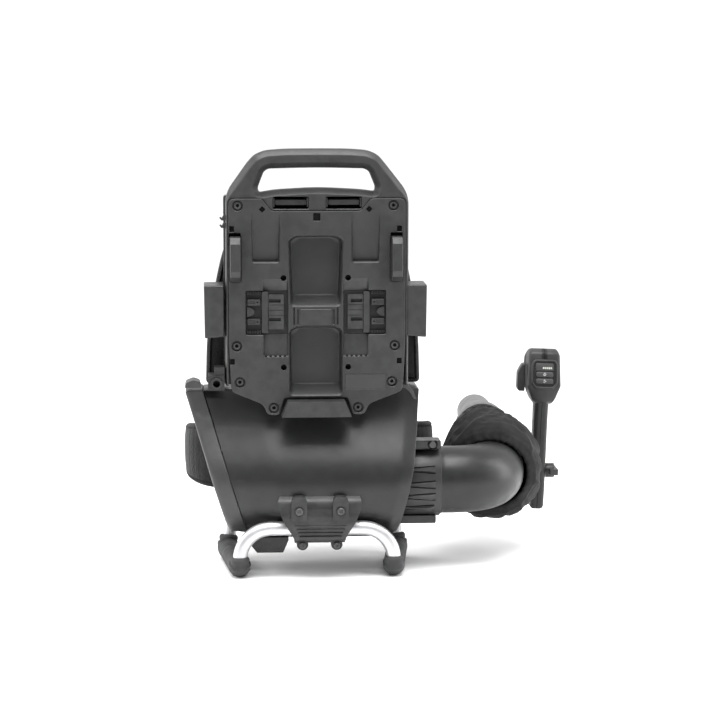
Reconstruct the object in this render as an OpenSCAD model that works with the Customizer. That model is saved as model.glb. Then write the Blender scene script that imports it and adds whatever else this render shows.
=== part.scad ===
// Battery backpack leaf blower: carrying frame with battery tray, fan housing, swivel elbow,
// flexible hose with fabric sleeve, nozzle tube, control handle, tube stand and harness.
// Millimetres. X runs across the machine to the outlet side, Y from the battery side to the
// wearer, Z up from the floor. The machine's own centre plane is moved by origin_x and origin_y
// so that the origin sits under the middle of the whole outline.

/* [Origin] */
// Distance from the machine's centre plane to the middle of the whole outline
origin_x = 99; // [60:1:140]
// Distance from the battery face to the middle of the whole outline
origin_y = 180; // [120:1:240]

/* [Battery tray] */
// Half width of the tray
tray_hw = 124.5; // [110:0.5:140]
// Height of the tray's top edge
tray_top = 530; // [480:1:560]
// Depth of the tray shell
tray_depth = 32; // [20:1:45]
// Moulded wall thickness
wall = 3; // [2:0.5:5]
// Battery bolt spacing across
bolt_dx = 90; // [60:1:120]
// Battery bolt spacing upward
bolt_dz = 125.5; // [90:0.5:160]
// Height of the battery bolt pattern's centre
bolt_cz = 358; // [320:1:400]
// Battery bolt hole radius
bolt_r = 4; // [2:0.25:6]

/* [Carrying frame] */
// Top of the carrying handle
handle_top = 600; // [560:1:640]
// Depth of the carrying handle
handle_depth = 28; // [20:1:40]
// Depth of the frame behind the tray
frame_depth = 24; // [15:1:35]

/* [Fan housing] */
// Fan axis distance from the battery face
fan_y = 56; // [45:1:70]
// Fan axis height
fan_z = 125; // [100:1:150]
// Radius of the round belly around the fan
belly_r = 80; // [70:1:95]
// Height of the housing's top
house_top = 262; // [230:1:280]
// Radius of the fan wheel
fan_r = 57; // [45:0.5:62]
// Radius of the motor shaft
shaft_r = 4; // [3:0.25:6]
// Running clearance on every turning fit
run = 0.05; // [0.01:0.01:0.1]

/* [Outlet] */
// Radius of the outlet collar's bore
collar_r = 45; // [40:0.5:50]
// Outside radius of the elbow
elbow_r = 48; // [42:0.5:54]
// Centreline bend radius of the elbow
bend_r = 68; // [55:1:90]
// Where the elbow leaves the collar
elbow_x = 178; // [160:1:190]

/* [Tube] */
// Length of the nozzle tube
tube_len = 176; // [120:1:260]
// Radius of the tube's far end
tube_end_r = 27; // [22:0.5:32]
// Height of the tube's near end
tube_z = 163; // [140:1:180]

/* [Control handle] */
// Handle position along the machine's depth
grip_y = 276; // [240:1:300]
// Height of the handle's clamp axis
clamp_z = 100; // [85:1:120]
// Grip width
grip_w = 25; // [20:0.5:32]

/* [Stand] */
// Radius of the stand tube
leg_r = 10; // [8:0.5:12]
// Height of the front crossbar
bar_z = 70; // [55:1:85]
// Middle of the clamp bracket
bracket_x = 3.5; // [-10:0.5:10]
// Radius of the rubber boots
boot_r = 17; // [14:0.5:20]

/* [Harness] */
// Thickness of the back pad
pad_t = 22; // [15:1:30]
// Thickness of the shoulder straps
strap_t = 14; // [8:1:20]
// Width of each shoulder strap
strap_w = 58; // [45:1:75]

/* [Hidden] */
$fn = 48;
gap = 0.3;
tray_screw_at = [[108.5, 521.5], [110.5, 325.5], [106.5, 274.5]];
ear_screw_at = [59, 238];
tube_tilt = 3.8;
tube_yaw = 0.9;
tube_x = 262;
tube_y = 224;
grip_lean = 2.2;
plate_front = [[60, 535], [60, 332], [116, 282], [141, 215], [141, 66]];
strap_path = [[99.5, 436], [104, 466], [126, 490], [162, 498], [204, 486], [233, 450],
    [242, 398], [234, 344], [216, 300], [203, 274]];

// Moves the machine's own frame to the origin under the middle of its outline.
module place() {
    translate([-origin_x, -origin_y, 0])
        children();
}

// Draws a profile given as [x, z] points, from depth y0 to depth y1.
module slab_xz(points, y0, y1) {
    translate([0, y1, 0])
        rotate([90, 0, 0])
            linear_extrude(y1 - y0)
                polygon(points);
}

// Draws a profile given as [y, z] points, from x0 to x1.
module slab_yz(points, x0, x1) {
    translate([x0, 0, 0])
        rotate([90, 0, 90])
            linear_extrude(x1 - x0)
                polygon(points);
}

module box(x0, x1, y0, y1, z0, z1) {
    translate([x0, y0, z0])
        cube([x1 - x0, y1 - y0, z1 - z0]);
}

// Cylinder along X, Y or Z from its start point.
module rod_x(x0, x1, y, z, r) {
    translate([x0, y, z])
        rotate([0, 90, 0])
            cylinder(h = x1 - x0, r = r);
}

module rod_y(x, y0, y1, z, r) {
    translate([x, y0, z])
        rotate([-90, 0, 0])
            cylinder(h = y1 - y0, r = r);
}

module rod_z(x, y, z0, z1, r) {
    translate([x, y, z0])
        cylinder(h = z1 - z0, r = r);
}

// Cylinder between two points.
module strut(a, b, r) {
    d = b - a;
    translate(a)
        rotate([0, acos(d[2] / norm(d)), atan2(d[1], d[0])])
            cylinder(h = norm(d), r = r);
}

// Closed band around an open path of [u, v] points.
function path_normal(p, i) =
    let (a = p[max(i - 1, 0)], b = p[min(i + 1, len(p) - 1)], d = b - a)
    [-d[1], d[0]] / norm(d);
function band(p, t) = concat(
    [for (i = [0:len(p) - 1]) p[i] + path_normal(p, i) * t / 2],
    [for (i = [len(p) - 1:-1:0]) p[i] - path_normal(p, i) * t / 2]
);

// ---------------------------------------------------------------- battery tray

function tray_outline() = [
    [-121, 261], [-123, 290], [-tray_hw, 330], [-tray_hw, tray_top], [-75, tray_top],
    [-61, tray_top - 16], [61, tray_top - 16], [75, tray_top], [tray_hw, tray_top],
    [tray_hw, 330], [123, 290], [121, 261], [74, 243], [68, 228], [51.5, 228], [44, 252],
    [-44, 252], [-51.5, 228], [-68, 228], [-74, 243]
];

function tray_rim(d) = [
    [-tray_hw + d, 268 + d], [-tray_hw + d, tray_top - d], [-75 - d, tray_top - d],
    [-61 - d, tray_top - 16 - d], [61 + d, tray_top - 16 - d], [75 + d, tray_top - d],
    [tray_hw - d, tray_top - d], [tray_hw - d, 268 + d]
];

// Open-fronted box let into the tray face.
module well(x0, x1, z0, z1, depth) {
    box(x0 - wall, x1 + wall, 1, depth + wall, z0 - wall, z1 + wall);
}

module pocket_ramp(x0, x1, grow) {
    slab_yz([[-1, 510 + grow], [1, 510 + grow], [18 + grow, 441 - grow], [-1, 441 - grow]], x0, x1);
}

module battery_tray() {
    color([0.27, 0.27, 0.28])
    place()
    difference() {
        union() {
            slab_xz(tray_outline(), 0, wall);
            difference() {
                slab_xz(tray_rim(0), wall - 0.5, tray_depth);
                slab_xz(tray_rim(wall), wall - 1, tray_depth + 1);
            }
            well(-38, 38, 382, 482, 26);
            well(-37, 37, 253, 353, 24);
            for (s = [-1, 1]) {
                well(min(s * 40, s * 98), max(s * 40, s * 98), 341, 404, 8);
                difference() {
                    pocket_ramp(min(s * 46, s * 94), max(s * 46, s * 94), 2);
                    box(-200, 200, -5, 1, 400, 540);
                }
                for (dz = [-1, 1])
                    rod_y(s * bolt_dx / 2, 1, 20, bolt_cz + dz * bolt_dz / 2, 8);
                intersection() {
                    slab_xz(tray_outline(), 0, 20);
                    union() {
                        for (p = tray_screw_at)
                            rod_y(s * p[0], 1, 14, p[1], 9.5);
                        rod_y(s * ear_screw_at[0], 1, 12, ear_screw_at[1], 9.5);
                    }
                }
            }
        }
        box(40.7, 98.3, -1, 1, 263.7, 285.3);
        box(-38, 38, -1, 26, 382, 482);
        box(-37, 37, -1, 24, 253, 353);
        rod_y(0, 20, 40, 422, 2.5);
        for (s = [-1, 1]) {
            box(min(s * 40, s * 98), max(s * 40, s * 98), -1, 8, 341, 404);
            pocket_ramp(min(s * 48, s * 92), max(s * 48, s * 92), 0);
            for (dz = [-1, 1])
                rod_y(s * bolt_dx / 2, -1, 21, bolt_cz + dz * bolt_dz / 2, bolt_r);
            for (p = tray_screw_at) {
                rod_y(s * p[0], -1, 4.6, p[1], 6.8);
                rod_y(s * p[0], 4, 20, p[1], 2.6);
            }
            rod_y(s * ear_screw_at[0], -1, 4.6, ear_screw_at[1], 6.8);
            rod_y(s * ear_screw_at[0], 4, 20, ear_screw_at[1], 2.6);
            box(min(s * 104.6, s * 119.9), max(s * 104.6, s * 119.9), -1, 1, 415.6, 479.4);
        }
    }
}

module tray_screws() {
    color([0.16, 0.16, 0.17])
    place()
    for (s = [-1, 1]) {
        for (p = tray_screw_at) {
            rod_y(s * p[0], 0.8, 4.5, p[1], 5.2);
            rod_y(s * p[0], 4.2, 12, p[1], 2.3);
        }
        rod_y(s * ear_screw_at[0], 0.8, 4.5, ear_screw_at[1], 5.2);
        rod_y(s * ear_screw_at[0], 4.2, 11, ear_screw_at[1], 2.3);
    }
}

// Hooked block that holds the battery's side rail.
module battery_hook(s) {
    x0 = min(s * 105, s * 119.5);
    x1 = max(s * 105, s * 119.5);
    slab_yz([[-26, 424], [-30, 432], [-30, 470], [-24, 479], [0.9, 479], [0.9, 416], [-12, 416]],
        x0, x1);
}

module battery_hook_left() {
    color([0.22, 0.22, 0.23])
    place()
        battery_hook(-1);
}

module battery_hook_right() {
    color([0.22, 0.22, 0.23])
    place()
        battery_hook(1);
}

module battery_rest() {
    color([0.25, 0.25, 0.26])
    place()
    difference() {
        union() {
            slab_xz([[-40, 249.8], [40, 249.8], [49, 228], [-49, 228]], -26, 2);
        }
        slab_xz([[-37, 246.5], [37, 246.5], [45, 231], [-45, 231]], -23, 6);
    }
}

module rating_plate() {
    color([0.24, 0.24, 0.25])
    place()
        box(41, 98, 0.2, 0.9, 264, 285);
}

// Sliding latch plate with two lugs and a finger notch.
module latch_slide(s) {
    difference() {
        union() {
            box(min(s * 46, s * 92), max(s * 46, s * 92), 4, 7.6, 345, 400);
            for (z = [359, 386])
                box(min(s * 78, s * 97.5), max(s * 78, s * 97.5), 1, 7.6, z - 5, z + 5);
        }
        rod_y(s * 92, 0, 10, 372.5, 7);
        for (z = [359, 386])
            box(min(s * 50, s * 70), max(s * 50, s * 70), 0, 6, z - 3, z + 3);
    }
}

module latch_slide_left() {
    color([0.2, 0.2, 0.21])
    place()
        latch_slide(-1);
}

module latch_slide_right() {
    color([0.2, 0.2, 0.21])
    place()
        latch_slide(1);
}

// ---------------------------------------------------------------- carrying frame

module frame_arch() {
    slab_xz([
        [-128, tray_top + 0.6], [-128, 534], [-93, 582], [-85, 591], [-74, 596], [-50, 599],
        [0, handle_top], [50, 599], [74, 596], [85, 591], [93, 582], [128, 534],
        [128, tray_top + 0.6], [75.2, tray_top + 0.6], [61.2, tray_top - 15.4],
        [-61.2, tray_top - 15.4], [-75.2, tray_top + 0.6]
    ], 3, 3 + handle_depth);
}

module carry_frame() {
    color([0.26, 0.26, 0.27])
    place()
    difference() {
        union() {
            difference() {
                frame_arch();
                slab_xz([[-78, 546], [-80, 550], [-72, 569], [-66, 573.5], [66, 573.5], [72, 569],
                    [80, 550], [78, 546], [0, 548.5]], 0, 40);
                for (s = [-1, 1])
                    box(min(s * 12, s * 62), max(s * 12, s * 62), 0, 40, 518, 536);
            }
            difference() {
                slab_xz([[-128, 268], [-128, 534], [128, 534], [128, 268]], 3,
                    tray_depth + frame_depth);
                slab_xz([[-125, 260], [-125, tray_top + 0.5], [-75, tray_top + 0.5],
                    [-61, tray_top - 15.5], [61, tray_top - 15.5], [75, tray_top + 0.5],
                    [125, tray_top + 0.5], [125, 260]], 0, tray_depth + 0.4);
                slab_xz([[-125, 271], [-125, 508], [125, 508], [125, 271]],
                    tray_depth + 0.4 + wall, tray_depth + frame_depth + 1);
                slab_xz([[-90, 290], [-90, 490], [90, 490], [90, 290]], tray_depth,
                    tray_depth + 10);
                for (s = [-1, 1])
                    box(min(s * 12, s * 62), max(s * 12, s * 62), 0, 80, 518, 536);
            }
        }
    }
}

module strap_bar(s) {
    rod_x(min(s * 9, s * 65), max(s * 9, s * 65), 15, 527, 3.5);
}

module strap_bar_left() {
    color([0.2, 0.2, 0.21])
    place()
        strap_bar(-1);
}

module strap_bar_right() {
    color([0.2, 0.2, 0.21])
    place()
        strap_bar(1);
}

module side_bracket(s) {
    difference() {
        slab_xz([[s * 128.3, 338], [s * 155, 336], [s * 156, 410], [s * 128.3, 410]], 5, 66);
        slab_xz([[s * 131.3, 341], [s * 152, 339], [s * 153, 407], [s * 131.3, 407]], 8, 80);
    }
}

module side_bracket_left() {
    color([0.24, 0.24, 0.25])
    place()
        side_bracket(-1);
}

module side_bracket_right() {
    color([0.24, 0.24, 0.25])
    place()
        side_bracket(1);
}

module power_inlet() {
    color([0.2, 0.2, 0.21])
    place()
    difference() {
        union() {
            box(-151, -128, 3, 40, house_top + 1, 284);
            box(-142, -128, 6, 34, 283, 295);
            rod_y(-139, -3, 4, 273, 8);
        }
        rod_y(-139, -4, 22, 273, 5);
    }
}

// ---------------------------------------------------------------- fan housing

function house_left(z) = -185 + (house_top - z) * 67 / 218;
function house_outline(l, r) = [
    [house_left(house_top) + l, house_top], [house_left(44) + l, 44], [113 - r, 44],
    [138 - r, 156], [148 - r, house_top]
];

module house_section(d) {
    translate([-250, 0, 0])
        rotate([90, 0, 90])
            linear_extrude(500)
                union() {
                    translate([fan_y, fan_z])
                        circle(r = belly_r - d, $fn = 96);
                    translate([34 + d, fan_z])
                        square([78 - 2 * d, house_top - fan_z - d]);
                }
}

module fan_housing() {
    color([0.25, 0.25, 0.26])
    place()
    difference() {
        intersection() {
            house_section(0);
            slab_xz(house_outline(26, 0), -60, 180);
        }
        intersection() {
            house_section(wall);
            slab_xz(house_outline(-40, wall), -60, 180);
        }
        rod_x(100, 160, fan_y, fan_z, 49);
        for (s = [-1, 1])
            rod_y(s * 70, 100, 120, 240, 3);
    }
}

module inlet_cover() {
    color([0.3, 0.3, 0.31])
    place()
    difference() {
        intersection() {
            house_section(0);
            slab_xz([[house_left(house_top), house_top], [house_left(44), 44],
                [house_left(44) + 25.6, 44], [house_left(house_top) + 25.6, house_top]], -60, 180);
        }
        intersection() {
            house_section(wall);
            slab_xz([[house_left(house_top) + wall, house_top], [house_left(44) + wall, 44],
                [house_left(44) + 60, 44], [house_left(house_top) + 60, house_top]], -60, 180);
        }
        rod_x(-200, -100, fan_y, fan_z + 5, 62);
    }
}

// Concentric rings joined by spokes, over the air inlet.
module inlet_grille() {
    color([0.18, 0.18, 0.19])
    place()
    translate([house_left(fan_z) + 7, fan_y, fan_z])
        rotate([0, -17.1, 0])
            rotate([0, 90, 0])
                difference() {
                    union() {
                        for (r = [12:11:56])
                            difference() {
                                cylinder(h = 3, r = r + 1.5);
                                translate([0, 0, -1])
                                    cylinder(h = 5, r = r - 1.5);
                            }
                        for (a = [0:45:135])
                            rotate([0, 0, a])
                                translate([-57, -1.5, 0])
                                    cube([114, 3, 3]);
                        cylinder(h = 3, r = 6);
                    }
                }
}

module outlet_collar() {
    color([0.24, 0.24, 0.25])
    place()
    difference() {
        union() {
            rod_x(112, elbow_x, fan_y, fan_z, 50.5);
            box(136, elbow_x, 20, 52, 174, 187);
            box(118, 172, 30, 74, 66, 78);
        }
        rod_x(100, 190, fan_y, fan_z, collar_r + run);
        rod_x(100, 126.8, fan_y, fan_z, 48.4);
        slab_xz([[-60, 0], [103 + gap + 0.2, 0], [113 + gap + 0.2, 44], [138 + gap + 0.2, 156],
            [150 + gap + 0.2, 280], [-60, 280]], -60, 180);
        rod_y(166, 10, 34, 181, 2.6);
    }
}

module collar_screw() {
    color([0.16, 0.16, 0.17])
    place()
    union() {
        rod_y(166, 17, 19.9, 181, 4.6);
        rod_y(166, 19, 33, 181, 2.3);
    }
}

module under_guard() {
    color([0.18, 0.18, 0.19])
    place()
    difference() {
        slab_xz([[-91, 52], [-38, 52], [-38, 44], [-46, 26], [-83, 26], [-91, 36]], 30, 82);
        rod_x(-120, 0, fan_y, fan_z, belly_r + gap);
    }
}

module shroud_profile(d) {
    polygon([[0, 0], [70 + d, 0], [59 + d, 18], [59 + d, 80], [45.5 + d, 170], [45.5 + d, 186],
        [0, 186]]);
}

module fan_shroud() {
    color([0.3, 0.3, 0.3])
    place()
    translate([-62, fan_y, fan_z])
        rotate([0, 90, 0])
            difference() {
                rotate_extrude($fn = 96)
                    shroud_profile(2.5);
                translate([0, 0, -0.01])
                    rotate_extrude($fn = 96)
                            polygon([[0, -1], [70, -1], [70, 0], [59, 18], [59, 80], [45.5, 170],
                                [45.5, 188], [0, 188]]);
            }
}

// Motor pod carried by swept vanes inside the duct.
module guide_vanes() {
    color([0.3, 0.3, 0.31])
    place()
    translate([0, fan_y, fan_z])
        rotate([0, 90, 0])
            union() {
                difference() {
                    union() {
                        cylinder(h = 58, r = 33);
                        translate([0, 0, 58])
                            cylinder(h = 34, r1 = 33, r2 = 20);
                    }
                    translate([0, 0, -1])
                        cylinder(h = 54, r = 28.2);
                }
                difference() {
                    translate([0, 0, 4])
                        cylinder(h = 52, r = 10.4);
                    translate([0, 0, -1])
                        cylinder(h = 54.5, r = 9.05);
                }
                intersection() {
                    for (a = [0:360 / 7:359])
                        rotate([0, 0, a])
                            translate([16, -1.25, 44])
                                rotate([14, 0, 0])
                                    cube([50, 2.5, 40]);
                    translate([0, 0, -62])
                        rotate_extrude($fn = 96)
                            polygon([[18, 100], [56.2, 100], [53.2, 118], [46.8, 160], [18, 160]]);
                }
            }
}

module motor_stator() {
    color([0.6, 0.4, 0.25])
    place()
    translate([6, fan_y, fan_z])
        rotate([0, 90, 0])
            difference() {
                cylinder(h = 28, r = 22.5);
                translate([0, 0, -1])
                    cylinder(h = 30, r = 10.6);
                for (a = [0:40:359])
                    rotate([0, 0, a])
                        translate([13, -1, -1])
                            cube([12, 2, 30]);
            }
}

module bearing(x) {
    translate([x, fan_y, fan_z])
        rotate([0, 90, 0])
            difference() {
                cylinder(h = 6, r = 9);
                translate([0, 0, -1])
                    cylinder(h = 8, r = shaft_r + run);
            }
}

module bearing_front() {
    color([0.7, 0.7, 0.72])
    place()
        bearing(6);
}

module bearing_rear() {
    color([0.7, 0.7, 0.72])
    place()
        bearing(46);
}

module controller_box() {
    color([0.2, 0.2, 0.21])
    place()
    union() {
        box(-60, 60, 48, 100, 214, 246);
        for (x = [-54:12:54])
            box(x - 1.5, x + 1.5, 48, 100, 245, 253);
    }
}

module fan_wheel() {
    color([0.35, 0.35, 0.36])
    place()
    translate([-56, fan_y, fan_z])
        rotate([0, 90, 0])
            difference() {
                union() {
                    cylinder(h = 14, r1 = 12, r2 = 29);
                    translate([0, 0, 14])
                        cylinder(h = 36, r = 29);
                    intersection() {
                        for (a = [0:40:359])
                            rotate([0, 0, a])
                                translate([24, -1.5, 12])
                                    rotate([38, 0, 0])
                                        cube([50, 3, 42]);
                        translate([0, 0, 14])
                            cylinder(h = 34, r = fan_r);
                    }
                }
                translate([0, 0, -1])
                    cylinder(h = 60, r = shaft_r + 0.02);
                translate([0, 0, 20])
                    cylinder(h = 40, r = 25);
            }
}

module motor_rotor() {
    color([0.5, 0.5, 0.52])
    place()
    translate([0.5, fan_y, fan_z])
        rotate([0, 90, 0])
            difference() {
                cylinder(h = 35, r = 27);
                translate([0, 0, 3])
                    cylinder(h = 40, r = 23.5);
                translate([0, 0, -1])
                    cylinder(h = 6, r = shaft_r + 0.02);
            }
}

module motor_shaft() {
    color([0.75, 0.75, 0.77])
    place()
    union() {
        rod_x(-54, 53, fan_y, fan_z, shaft_r);
        rod_x(-35.8, -0.1, fan_y, fan_z, 8);
    }
}

// ---------------------------------------------------------------- back plate and harness

function plate_back() = [for (i = [len(plate_front) - 1:-1:0]) plate_front[i] + [8, i < 2 ? 0 : 2]];

module back_plate() {
    color([0.22, 0.22, 0.23])
    place()
    difference() {
        union() {
            slab_yz(concat(plate_front, plate_back()), -118, 118);
            for (s = [-1, 1])
                for (z = [350, 500])
                    rod_y(s * 95, 56.4, 61, z, 12);
        }
        for (s = [-1, 1])
            box(min(s * 96, s * 130), max(s * 96, s * 130), 100, 200, 40, 226);
        for (z = [110:28:190])
            box(-50, 50, 100, 200, z, z + 12);
    }
}

module vibration_dampers() {
    color([0.1, 0.1, 0.1])
    place()
    for (s = [-1, 1]) {
        rod_y(s * 70, 112.3, 127, 240, 9);
        rod_y(s * 70, 136.4, 140.7, fan_z, 9);
    }
}

module back_pad() {
    color([0.12, 0.12, 0.12])
    place()
        slab_xz([
            [-154, 268], [-152, 335], [-138, 415], [-130, 450], [-110, 505], [110, 505],
            [130, 450], [138, 415], [150, 335], [152, 268], [121, 268], [121, 340],
            [-121, 340], [-121, 268]
        ], 69, 69 + pad_t);
}

module lumbar_pad() {
    color([0.12, 0.12, 0.12])
    place()
        slab_yz([[150, 80], [150, 214], [154, 226], [168, 226], [174, 216], [174, 78], [168, 72],
            [153, 72]], -96, 96);
}

module shoulder_strap(s) {
    x0 = s > 0 ? 46 : -46 - strap_w;
    slab_yz(band(strap_path, strap_t), x0, x0 + strap_w);
}

module shoulder_strap_left() {
    color([0.11, 0.11, 0.11])
    place()
        shoulder_strap(-1);
}

module shoulder_strap_right() {
    color([0.11, 0.11, 0.11])
    place()
        shoulder_strap(1);
}

// Ladder-lock buckle and the webbing that runs back to the lumbar plate.
module strap_webbing(s) {
    x0 = s > 0 ? 62 : -88;
    union() {
        slab_yz(band([[202, 262], [192, 247], [176, 238], [152.5, 235]], 3), x0, x0 + 26);
        slab_yz(band([[204, 272], [197, 256]], 7), x0 - 5, x0 + 31);
    }
}

module strap_webbing_left() {
    color([0.1, 0.1, 0.1])
    place()
        strap_webbing(-1);
}

module strap_webbing_right() {
    color([0.1, 0.1, 0.1])
    place()
        strap_webbing(1);
}

module hip_pad(s) {
    translate([0, 0, 92])
        linear_extrude(104)
            polygon([for (p = band([[107, 168], [140, 173], [164, 190], [177, 220], [178, 256]], 18))
                [s * p[0], p[1]]]);
}

module hip_pad_left() {
    color([0.12, 0.12, 0.12])
    place()
        hip_pad(-1);
}

module hip_pad_right() {
    color([0.12, 0.12, 0.12])
    place()
        hip_pad(1);
}

// ---------------------------------------------------------------- stand

// Legs inside the boots: down, along the floor and up behind the fan.
module leg_path(s, r) {
    rod_z(s * 108, -18, 15.5, bar_z - 44, r);
    translate([s * 108, -18, 15.5])
        sphere(r = r + 0.5);
    strut([s * 108, -18, 15.5], [s * 124, 130, 15.5], r);
    translate([s * 124, 130, 15.5])
        sphere(r = r + 0.5);
    strut([s * 124, 130, 15.5], [s * 110, 148, 120], r);
}

// Quarter bend that takes the crossbar down into the leg.
module leg_bend(s, r) {
    translate([s * 64, -18, bar_z - 44])
        rotate([90, 0, 0])
            rotate([0, 0, s > 0 ? 0 : 90])
                rotate_extrude(angle = 90, $fn = 64)
                    translate([44, 0])
                        circle(r = r);
}

module stand_tube() {
    color([0.8, 0.8, 0.82])
    place()
    union() {
        rod_x(-64, 64, -18, bar_z, leg_r);
        for (s = [-1, 1]) {
            leg_bend(s, leg_r);
            leg_path(s, leg_r);
        }
    }
}

module foot(s) {
    difference() {
        union() {
            strut([s * 108, -18, 15.5], [s * 124, 130, 15.5], boot_r);
            translate([s * 108, -18, 15.5])
                sphere(r = boot_r + 0.5);
            translate([s * 124, 130, 15.5])
                sphere(r = boot_r + 0.5);
            rod_z(s * 108, -18, 15.5, bar_z - 45, 14.5);
            strut([s * 124, 130, 15.5], [s * 120, 135.2, 45], 14.5);
        }
        leg_path(s, leg_r + 0.06);
        leg_bend(s, leg_r + 0.06);
        box(-200, 200, -100, 300, -20, 0);
    }
}

module foot_left() {
    color([0.09, 0.09, 0.09])
    place()
        foot(-1);
}

module foot_right() {
    color([0.09, 0.09, 0.09])
    place()
        foot(1);
}

// Clamp block that holds the crossbar under the belly.
module stand_bracket() {
    color([0.22, 0.22, 0.23])
    place()
    difference() {
        union() {
            slab_yz([[-36, 60], [-38, 76], [-38, 92], [-30, 112], [-20, 120], [4, 112], [12, 60],
                [2, 52], [-26, 52]], bracket_x - 50, bracket_x + 50);
            for (s = [-1, 1])
                slab_yz([[-41, 84], [-41, 112], [-34, 118], [-20, 118], [-20, 84]],
                    bracket_x + s * 29 - 11, bracket_x + s * 29 + 11);
            for (s = [-1, 1])
                rod_y(bracket_x + s * 24, -26, 2, 48, 8);
        }
        rod_x(-120, 120, fan_y, fan_z, belly_r + gap);
        rod_x(-62, 62, -18, bar_z, leg_r + 0.05);
        for (s = [-1, 1]) {
            rod_y(bracket_x + s * 29, -50, -24, 98, 2.6);
            rod_y(bracket_x + s * 24, -30, 10, 47, 2.6);
        }
    }
}

module bracket_screws() {
    color([0.16, 0.16, 0.17])
    place()
    for (s = [-1, 1]) {
        rod_y(bracket_x + s * 29, -44, -41.1, 98, 5);
        rod_y(bracket_x + s * 29, -41.5, -28, 98, 2.3);
        rod_y(bracket_x + s * 24, -29, -26.1, 47, 4.4);
        rod_y(bracket_x + s * 24, -27, 0, 47, 2.3);
    }
}

// ---------------------------------------------------------------- elbow and hose

// Tube that runs out of the collar, turns through a quarter and faces the wearer's side.
module elbow_core(r) {
    rod_x(elbow_x + 0.5, 192, fan_y, fan_z, r);
    translate([192, fan_y + bend_r, fan_z])
        rotate([0, 0, -90])
            rotate_extrude(angle = 90, $fn = 96)
                translate([bend_r, 0])
                    circle(r = r, $fn = 64);
    rod_y(192 + bend_r, fan_y + bend_r, fan_y + bend_r + 16, fan_z, r);
}

module elbow() {
    color([0.2, 0.2, 0.21])
    place()
    difference() {
        union() {
            rod_x(146, elbow_x + 2, fan_y, fan_z, collar_r);
            elbow_core(elbow_r);
        }
        elbow_core(collar_r - 4);
        rod_x(140, elbow_x + 1, fan_y, fan_z, collar_r - 4.5);
        rod_y(192 + bend_r, fan_y + bend_r + 10, fan_y + bend_r + 20, fan_z, collar_r - 3.5);
    }
}

function bellows_ring(n, pitch, lo, hi) =
    [for (i = [0:n - 1]) each [[lo, i * pitch], [hi, (i + 0.3) * pitch], [hi, (i + 0.6) * pitch]]];

module hose_bellows() {
    color([0.08, 0.08, 0.08])
    place()
    difference() {
        union() {
            rod_y(260, 127, 148, fan_z, 51);
            translate([260, 143, 127])
                rotate([24.5 - 90, 0, -1.2])
                    rotate_extrude($fn = 64)
                        polygon(concat([[0, 0]], bellows_ring(11, 7, 39.5, 44), [[39.5, 77], [0, 77]]));
            translate([tube_x, tube_y - 12, tube_z - 1])
                rotate([tube_tilt - 90, 0, -tube_yaw])
                    cylinder(h = 11, r = 38.8);
        }
        rod_y(260, 120, 141, fan_z, elbow_r + gap);
        rod_y(260, 120, 152, fan_z, 37);
        translate([260, 143, 127])
            rotate([24.5 - 90, 0, -1.2])
                translate([0, 0, -6])
                    cylinder(h = 92, r = 37);
        translate([tube_x, tube_y - 16, tube_z - 1.2])
            rotate([tube_tilt - 90, 0, -tube_yaw])
                cylinder(h = 30, r = 36);
    }
}

// Loose fabric sleeve, drawn as a plain turned skin clear of the hose inside it.
module hose_sleeve() {
    color([0.07, 0.07, 0.07])
    place()
    translate([258.5, 112, 122])
        rotate([16.8 - 90, 0, -1.6])
            rotate_extrude($fn = 64)
                polygon([
                    [59, 0], [66, 9], [69, 28], [68, 50], [63, 78], [58, 104], [53.5, 122],
                    [46, 138], [42, 150], [37.5, 150], [42.5, 137], [50, 120], [55, 102],
                    [58.5, 77], [63.5, 50], [64, 28], [61, 11], [55.5, 1]
                ]);
}

module blower_tube() {
    color([0.45, 0.45, 0.46])
    place()
    translate([tube_x, tube_y, tube_z])
        rotate([tube_tilt - 90, 0, -tube_yaw])
            difference() {
                union() {
                    cylinder(h = 76, r = 35);
                    translate([0, 0, 75.9])
                        cylinder(h = 54, r1 = 33, r2 = tube_end_r);
                    translate([0, 0, 129.8])
                        cylinder(h = tube_len - 129.8, r = tube_end_r);
                }
                translate([0, 0, -1])
                    cylinder(h = 78, r = 31);
                translate([0, 0, 76.9])
                    cylinder(h = 54, r1 = 30.5, r2 = tube_end_r - 2);
                translate([0, 0, 130.5])
                    cylinder(h = 60, r = tube_end_r - 2);
            }
}

// Ring on the tube with the arm that carries the control handle.
module tube_bracket() {
    color([0.2, 0.2, 0.21])
    place()
    difference() {
        union() {
            translate([tube_x, tube_y, tube_z])
                rotate([tube_tilt - 90, 0, -tube_yaw])
                    translate([0, 0, 42])
                        cylinder(h = 22, r = 39);
            slab_xz([[270, 136], [284, 146], [300, 150], [318, 118], [334, 112], [334, 88],
                [316, 88], [300, 104], [282, 128]], grip_y - 10, grip_y + 10);
            rod_x(324, 334, grip_y, clamp_z, 16);
        }
        translate([tube_x, tube_y, tube_z])
            rotate([tube_tilt - 90, 0, -tube_yaw])
                cylinder(h = 76, r = 35.06);
        rod_x(300, 340, grip_y, clamp_z, 4 + run);
    }
}

// ---------------------------------------------------------------- control handle

// Puts a handle piece, drawn with the clamp axis at x = 0 and y = z = 0, on the bracket.
module on_handle() {
    translate([347.5, grip_y, clamp_z])
        rotate([0, grip_lean, 0])
            children();
}

function grip_side() = [
    [-12, -58], [-15, -50], [-17, -10], [-16, 30], [-15, 70], [-17, 98], [-28, 114], [-34, 132],
    [-22, 184], [-8, 188], [20, 184], [30, 160], [30, 126], [22, 106], [16, 96], [15, 60],
    [17, 20], [17, -40], [12, -58]
];

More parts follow.
